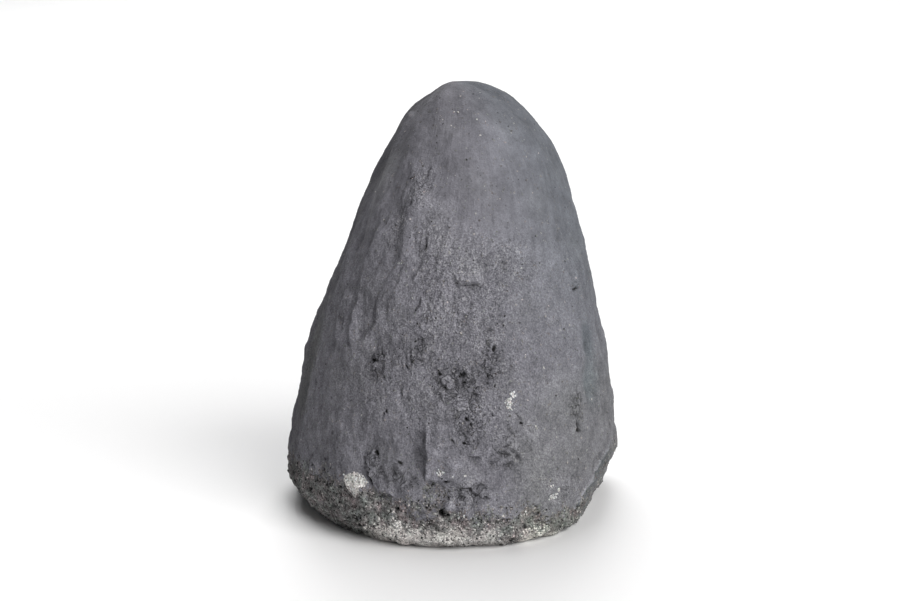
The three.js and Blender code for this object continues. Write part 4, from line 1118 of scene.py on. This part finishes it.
def bed_parts():
    """Closed lining: the bumpy inner wall, the sawn edge across to the stone, and the outer wall against it.
    The inner wall is the hollow drawn in by the bed's thickness, with its lumps moved towards the middle."""
    angle = np.linspace(-np.pi, np.pi, BED_COLUMNS, endpoint=False)[None, :]
    turn = np.linspace(0, np.pi / 2, BED_ROWS + 1)[:, None]
    inner = hollow_grid(angle, turn, BED_THICKNESS)
    middle = np.array([0.0, FACE_Y - HOLLOW_DEPTH * 0.4, MOUTH_HEIGHT])
    bump = noises(inner, BED_LUMPS) * np.sin(turn) ** 0.5
    inner += (middle - inner) / np.linalg.norm(middle - inner, axis=-1, keepdims=True) * bump[..., None]
    inner[0, :, 1] = FACE_Y
    inner[-1] = inner[-1].mean(0)
    outer = hollow_grid(angle, np.linspace(0, np.pi / 2, BED_BACK_ROWS + 1)[:, None], 0.0)
    outer[-1] = outer[-1].mean(0)
    edge = rings_of(outer[0], inner[0], BED_EDGE_ROWS)
    return [
        part(inner, ring_faces(BED_ROWS + 1, BED_COLUMNS), 0, True, root=1 + 0.5 * smooth(4 * turn)),
        part(edge, ring_faces(BED_EDGE_ROWS + 1, BED_COLUMNS), 0, True,
             root=np.linspace(0, 1, BED_EDGE_ROWS + 1)[:, None]),
        part(outer, ring_faces(BED_BACK_ROWS + 1, BED_COLUMNS)),
    ]


def bed_material():
    """Massive quartz: milky white where it meets the agate, pale to mid violet where the points begin, with
    fine growth streaks away from the mouth's middle, and glossy."""
    look = Look("massive_quartz")
    cloud = look.noise(260, 4, 0.6)
    level = look.wire("VectorMath", 0, {0: look.place, 1: (1.0, 0.0, 1.0)}, operation="MULTIPLY")
    out = look.wire("VectorMath", 0, {0: level, 1: (0.0, 0.0, MOUTH_HEIGHT / 1000)}, operation="SUBTRACT")
    out = look.wire("VectorMath", 0, {0: out}, operation="NORMALIZE")
    fibres = look.noise(26, 4, 0.7, place=out)
    share = (fibres * 1.3 + cloud * 0.35 + look.value("root")) * 0.6 - 0.42
    whole = look.ramp(share, [[0.05, (0.56, 0.55, 0.58, 1)], [0.2, (0.42, 0.38, 0.48, 1)],
                              [0.38, (0.20, 0.13, 0.32, 1)], [0.6, (0.085, 0.035, 0.18, 1)]])
    return look.finish({"Base Color": whole, "Roughness": 0.22, "Normal": look.bump(cloud, 0.4, 0.0004),
                        "Subsurface Weight": 0.15, "Subsurface Scale": 0.002})


bed = build_mesh("quartz_bed", bed_parts(), [bed_material()])
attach(bed, "root")
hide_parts("amethyst_crystals")

# ---------------------------------------------------------------------------------------------------------
# The amethyst points: quartz crystals crowded shoulder to shoulder over the whole bed. Each is a short
# six-sided prism under a six-sided point that is a little off centre. They are clear violet, deepest at
# the tip.

POINT_SEED = 19
POINT_SIDES = 6
POINT_CORNERS = 2 * POINT_SIDES + 1
POINT_ROOT = 2.2  # how deep its foot is sunk in the bed
POINT_LEAN = 25.0  # most lean from the bed's normal, in degrees
LARGE_PITCH, LARGE_RADIUS, LARGE_SPREAD = 5.4, 2.7, 2.2  # how far apart, least radius, most above it
SMALL_PITCH, SMALL_RADIUS, SMALL_SPREAD = 4.1, 1.3, 1.2
BED_GIRTH = 355.0  # of the bed at the mouth
BED_RADIUS = 52.0  # mean distance of the bed from the mouth's middle, at the mouth
BED_RUN = 60.0  # roughly how far it is along the bed for each radian of turn


def bed_places(pitch, dice):
    """Places on the bed, as angles and depths: rows one pitch apart from the mouth to the bottom, each with
    as many places as its girth holds, every other row set off by half, and all strayed by up to a third of
    a pitch."""
    walk = np.linspace(0, np.pi / 2, 400)
    deep = np.sin(walk) ** (2 / HOLLOW_POWER)
    narrow = np.cos(walk) ** (2 / HOLLOW_POWER)
    steps = np.hypot(np.diff(deep) * HOLLOW_DEPTH, np.diff(narrow) * BED_RADIUS)
    run = np.concatenate([[0], np.cumsum(steps)])
    rows = int(run[-1] / pitch)
    turns = np.interp((np.arange(rows) + 0.45) * pitch, run, walk)
    angles, depths = [], []
    for row, turn in enumerate(turns):
        girth = BED_GIRTH * np.cos(turn) ** (2 / HOLLOW_POWER)
        count = max(3, round(girth / pitch))
        place = (np.arange(count) + 0.5 * (row % 2) + 0.7 * (dice.random(count) - 0.5)) / count
        angles.append(2 * np.pi * place - np.pi)
        stray = np.clip(turn + 0.7 * (dice.random(count) - 0.5) * pitch / BED_RUN, 0.02, np.pi / 2 - 0.02)
        depths.append(np.sin(stray) ** (2 / HOLLOW_POWER))
    return np.concatenate(angles), np.concatenate(depths)


def bed_normals(angle, deep):
    """Places on the bed, and its normals into the hollow: across a small step round it and a small step
    out of it."""
    here = hollow(angle, deep, BED_THICKNESS)
    aside = hollow(angle + 0.01, deep, BED_THICKNESS) - here
    shallower = hollow(angle, deep - 0.01, BED_THICKNESS) - here
    normal = np.cross(aside, shallower)
    normal /= np.linalg.norm(normal, axis=-1, keepdims=True)
    towards = np.array([0.0, FACE_Y - 10, MOUTH_HEIGHT]) - here
    return here, normal * np.sign((normal * towards).sum(-1, keepdims=True))


def crystal_points(angle, deep, radius, dice):
    """Corners of the crystals: foot and shoulder rings of six, and a tip. The shoulder stands 0.1 to 1
    radius off the bed and each of its corners up to a quarter radius higher or lower, and the tip 0.95 to
    1.25 radii above it and up to a quarter radius off centre. The axis leans from the bed's normal to a
    random side."""
    count = len(angle)
    seat, normal = bed_normals(angle, deep)
    lean = np.radians(POINT_LEAN) * dice.random((count, 1))
    sideways = dice.normal(size=(count, 3))
    sideways -= (sideways * normal).sum(-1, keepdims=True) * normal
    sideways /= np.linalg.norm(sideways, axis=-1, keepdims=True)
    axis = normal * np.cos(lean) + sideways * np.sin(lean)
    first = np.cross(axis, sideways + 0.3)
    first /= np.linalg.norm(first, axis=-1, keepdims=True)
    second = np.cross(axis, first)
    turn = 2 * np.pi / POINT_SIDES * np.arange(POINT_SIDES)
    ring = first[:, None] * np.cos(turn)[None, :, None] + second[:, None] * np.sin(turn)[None, :, None]
    girth = 1 + 0.28 * (dice.random((count, POINT_SIDES, 1)) - 0.5)
    ring = ring * girth * radius[:, None, None]
    shoulder = radius * (0.1 + 0.9 * dice.random(count) ** 1.5)
    uneven = 0.5 * (dice.random((count, POINT_SIDES)) - 0.5) * radius[:, None]
    foot = seat[:, None] + ring * 0.96 - axis[:, None] * POINT_ROOT
    top = seat[:, None] + ring + axis[:, None] * (shoulder[:, None] + uneven)[..., None]
    tip_height = shoulder + radius * (0.95 + 0.3 * dice.random(count))
    stray = (dice.random((count, 2)) - 0.5) * 0.5 * radius[:, None]
    tip = seat + axis * tip_height[:, None] + first * stray[:, :1] + second * stray[:, 1:]
    return np.concatenate([foot, top, tip[:, None]], 1)


def crystal_faces():
    """One crystal's triangles: two for each prism side, one for each of the point's, four for the foot."""
    here = np.arange(POINT_SIDES)
    after = (here + 1) % POINT_SIDES
    over, over_after = here + POINT_SIDES, after + POINT_SIDES
    sides = np.concatenate([np.stack([here, after, over_after], -1), np.stack([here, over_after, over], -1)])
    point = np.stack([over, over_after, np.full(POINT_SIDES, 2 * POINT_SIDES)], -1)
    foot = np.array([[0, 2, 1], [0, 3, 2], [0, 4, 3], [0, 5, 4]])
    return np.concatenate([sides, point, foot])


def amethyst_material():
    """Clear violet quartz: transmission at quartz's own index, absorbing green most, with a surface tint
    from nearly clear at the shoulder to deep violet at the tip, and faint veils inside."""
    look = Look("amethyst")
    share = look.noise(320, 3) * 0.35 + look.value("tip") + look.value("depth_of_colour")
    whole = look.ramp(share, [[0.15, (0.80, 0.74, 0.90, 1)], [0.5, (0.52, 0.34, 0.78, 1)],
                              [0.95, (0.26, 0.10, 0.55, 1)]])
    inside = look.wire("VolumeAbsorption", 0, {"Color": (0.45, 0.20, 0.80, 1), "Density": 85.0})
    return look.finish({"Base Color": whole, "Roughness": 0.04, "IOR": 1.544, "Transmission Weight": 0.82},
                       Volume=inside)


dice = np.random.default_rng(POINT_SEED)
large_angle, large_deep = bed_places(LARGE_PITCH, dice)
small_angle, small_deep = bed_places(SMALL_PITCH, dice)
large_radius = LARGE_RADIUS + LARGE_SPREAD * dice.random(len(large_angle)) ** 1.6
small_radius = SMALL_RADIUS + SMALL_SPREAD * dice.random(len(small_angle))
point_corners = np.concatenate([crystal_points(large_angle, large_deep, large_radius, dice),
                                crystal_points(small_angle, small_deep, small_radius, dice)])
point_corners[..., 1] -= np.maximum(point_corners[..., 1].max(1, keepdims=True) - FACE_Y + BOX_MARGIN, 0)
point_total = len(point_corners)
point_faces = (crystal_faces()[None] + POINT_CORNERS * np.arange(point_total)[:, None, None]).reshape(-1, 3)
tip_share = np.tile(np.repeat([0.0, 0.35, 1.0], [POINT_SIDES, POINT_SIDES, 1]), point_total)
own_depth = np.repeat(0.25 * (dice.random(point_total) - 0.5), POINT_CORNERS)
crystals = part(point_corners.reshape(-1, 3), point_faces, tip=tip_share, depth_of_colour=own_depth)
points_piece = build_mesh("amethyst_points", [crystals], [amethyst_material()], flat=True)
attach(points_piece, "root")
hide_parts("amethyst_crystals")

# ---------------------------------------------------------------------------------------------------------
# The plain pale floor, soft studio light and the camera. None of it is part of the geode.

FLOOR_REACH = 30.0  # metres from the middle to each side
FLOOR_DROP = 0.0002  # how far it lies under the foot
LAMPS = [  # name, place in metres, width and height in metres, watts, colour
    ("key_softbox", (2.5, -2.75, 2.5), (3.2, 3.2), 230.0, (1.0, 0.99, 0.985)),
    ("top_softbox", (-0.3, 1.9, 3.9), (3.2, 3.2), 105.0, (1.0, 1.0, 1.0)),
    ("front_softbox", (0.0, 4.0, 2.3), (2.4, 2.4), 70.0, (1.0, 1.0, 1.0)),
]
LAMP_AIM = Vector((0.0, 0.0, 0.07))
WORLD_COLOUR, WORLD_STRENGTH = (0.97, 0.98, 1.0, 1.0), 0.09
CAMERA_PLACE = (0.00624, -0.67819, 0.2289)
YAW, PITCH, ROLL = math.radians(0.51), math.radians(12.37), math.radians(-1.13)
LENS, FILM_WIDTH = 76.6, 36.0
NEAREST, FARTHEST = 0.01, 50.0  # what the camera sees, in metres


def floor_material():
    """Matt white, very slightly uneven in shade."""
    look = Look("white_floor")
    whole = look.ramp(look.noise(3), [[0.3, grey(0.84)], [0.7, grey(0.87)]])
    return look.finish({"Base Color": whole, "Roughness": 0.6})


def camera_turn():
    """Rotation of a camera that looks along +Y, turned left by the yaw, tipped down by the pitch and rolled
    about its own line of sight: its columns are its right, its up and its back."""
    ahead = np.array([-math.sin(YAW) * math.cos(PITCH), math.cos(YAW) * math.cos(PITCH), -math.sin(PITCH)])
    right = np.array([math.cos(YAW), math.sin(YAW), 0.0])
    up = np.cross(right, ahead)
    turned_right = right * math.cos(ROLL) + up * math.sin(ROLL)
    turned_up = -right * math.sin(ROLL) + up * math.cos(ROLL)
    return np.stack([turned_right, turned_up, -ahead], 1)


floor_mesh = bpy.data.meshes.new("floor")
corner_signs = ((-1, -1), (1, -1), (1, 1), (-1, 1))
floor_corners = [(x * FLOOR_REACH, y * FLOOR_REACH, -FLOOR_DROP) for x, y in corner_signs]
floor_mesh.from_pydata(floor_corners, [], [(0, 1, 2, 3)])
floor_mesh.materials.append(floor_material())
floor = bpy.data.objects.new("floor", floor_mesh)
bpy.context.scene.collection.objects.link(floor)

world = bpy.data.worlds.new("studio")
world.use_nodes = True
world.node_tree.nodes["Background"].inputs["Color"].default_value = WORLD_COLOUR
world.node_tree.nodes["Background"].inputs["Strength"].default_value = WORLD_STRENGTH
bpy.context.scene.world = world
bpy.context.scene.view_settings.view_transform = "Standard"

for name, place, size, power, colour in LAMPS:
    lamp_data = bpy.data.lights.new(name, "AREA")
    lamp_data.shape = "RECTANGLE"
    lamp_data.size, lamp_data.size_y = size
    lamp_data.energy = power
    lamp_data.color = colour
    lamp = bpy.data.objects.new(name, lamp_data)
    lamp.location = place
    lamp.rotation_mode = "QUATERNION"
    lamp.rotation_quaternion = (Vector(place) - LAMP_AIM).to_track_quat("Z", "Y")
    bpy.context.scene.collection.objects.link(lamp)

camera_data = bpy.data.cameras.new("camera")
camera_data.sensor_width, camera_data.lens = FILM_WIDTH, LENS
camera_data.clip_start, camera_data.clip_end = NEAREST, FARTHEST
camera = bpy.data.objects.new("camera", camera_data)
camera.location = CAMERA_PLACE
camera.rotation_mode = "QUATERNION"
camera.rotation_quaternion = Matrix(camera_turn().tolist()).to_quaternion()
bpy.context.scene.collection.objects.link(camera)
bpy.context.scene.camera = camera
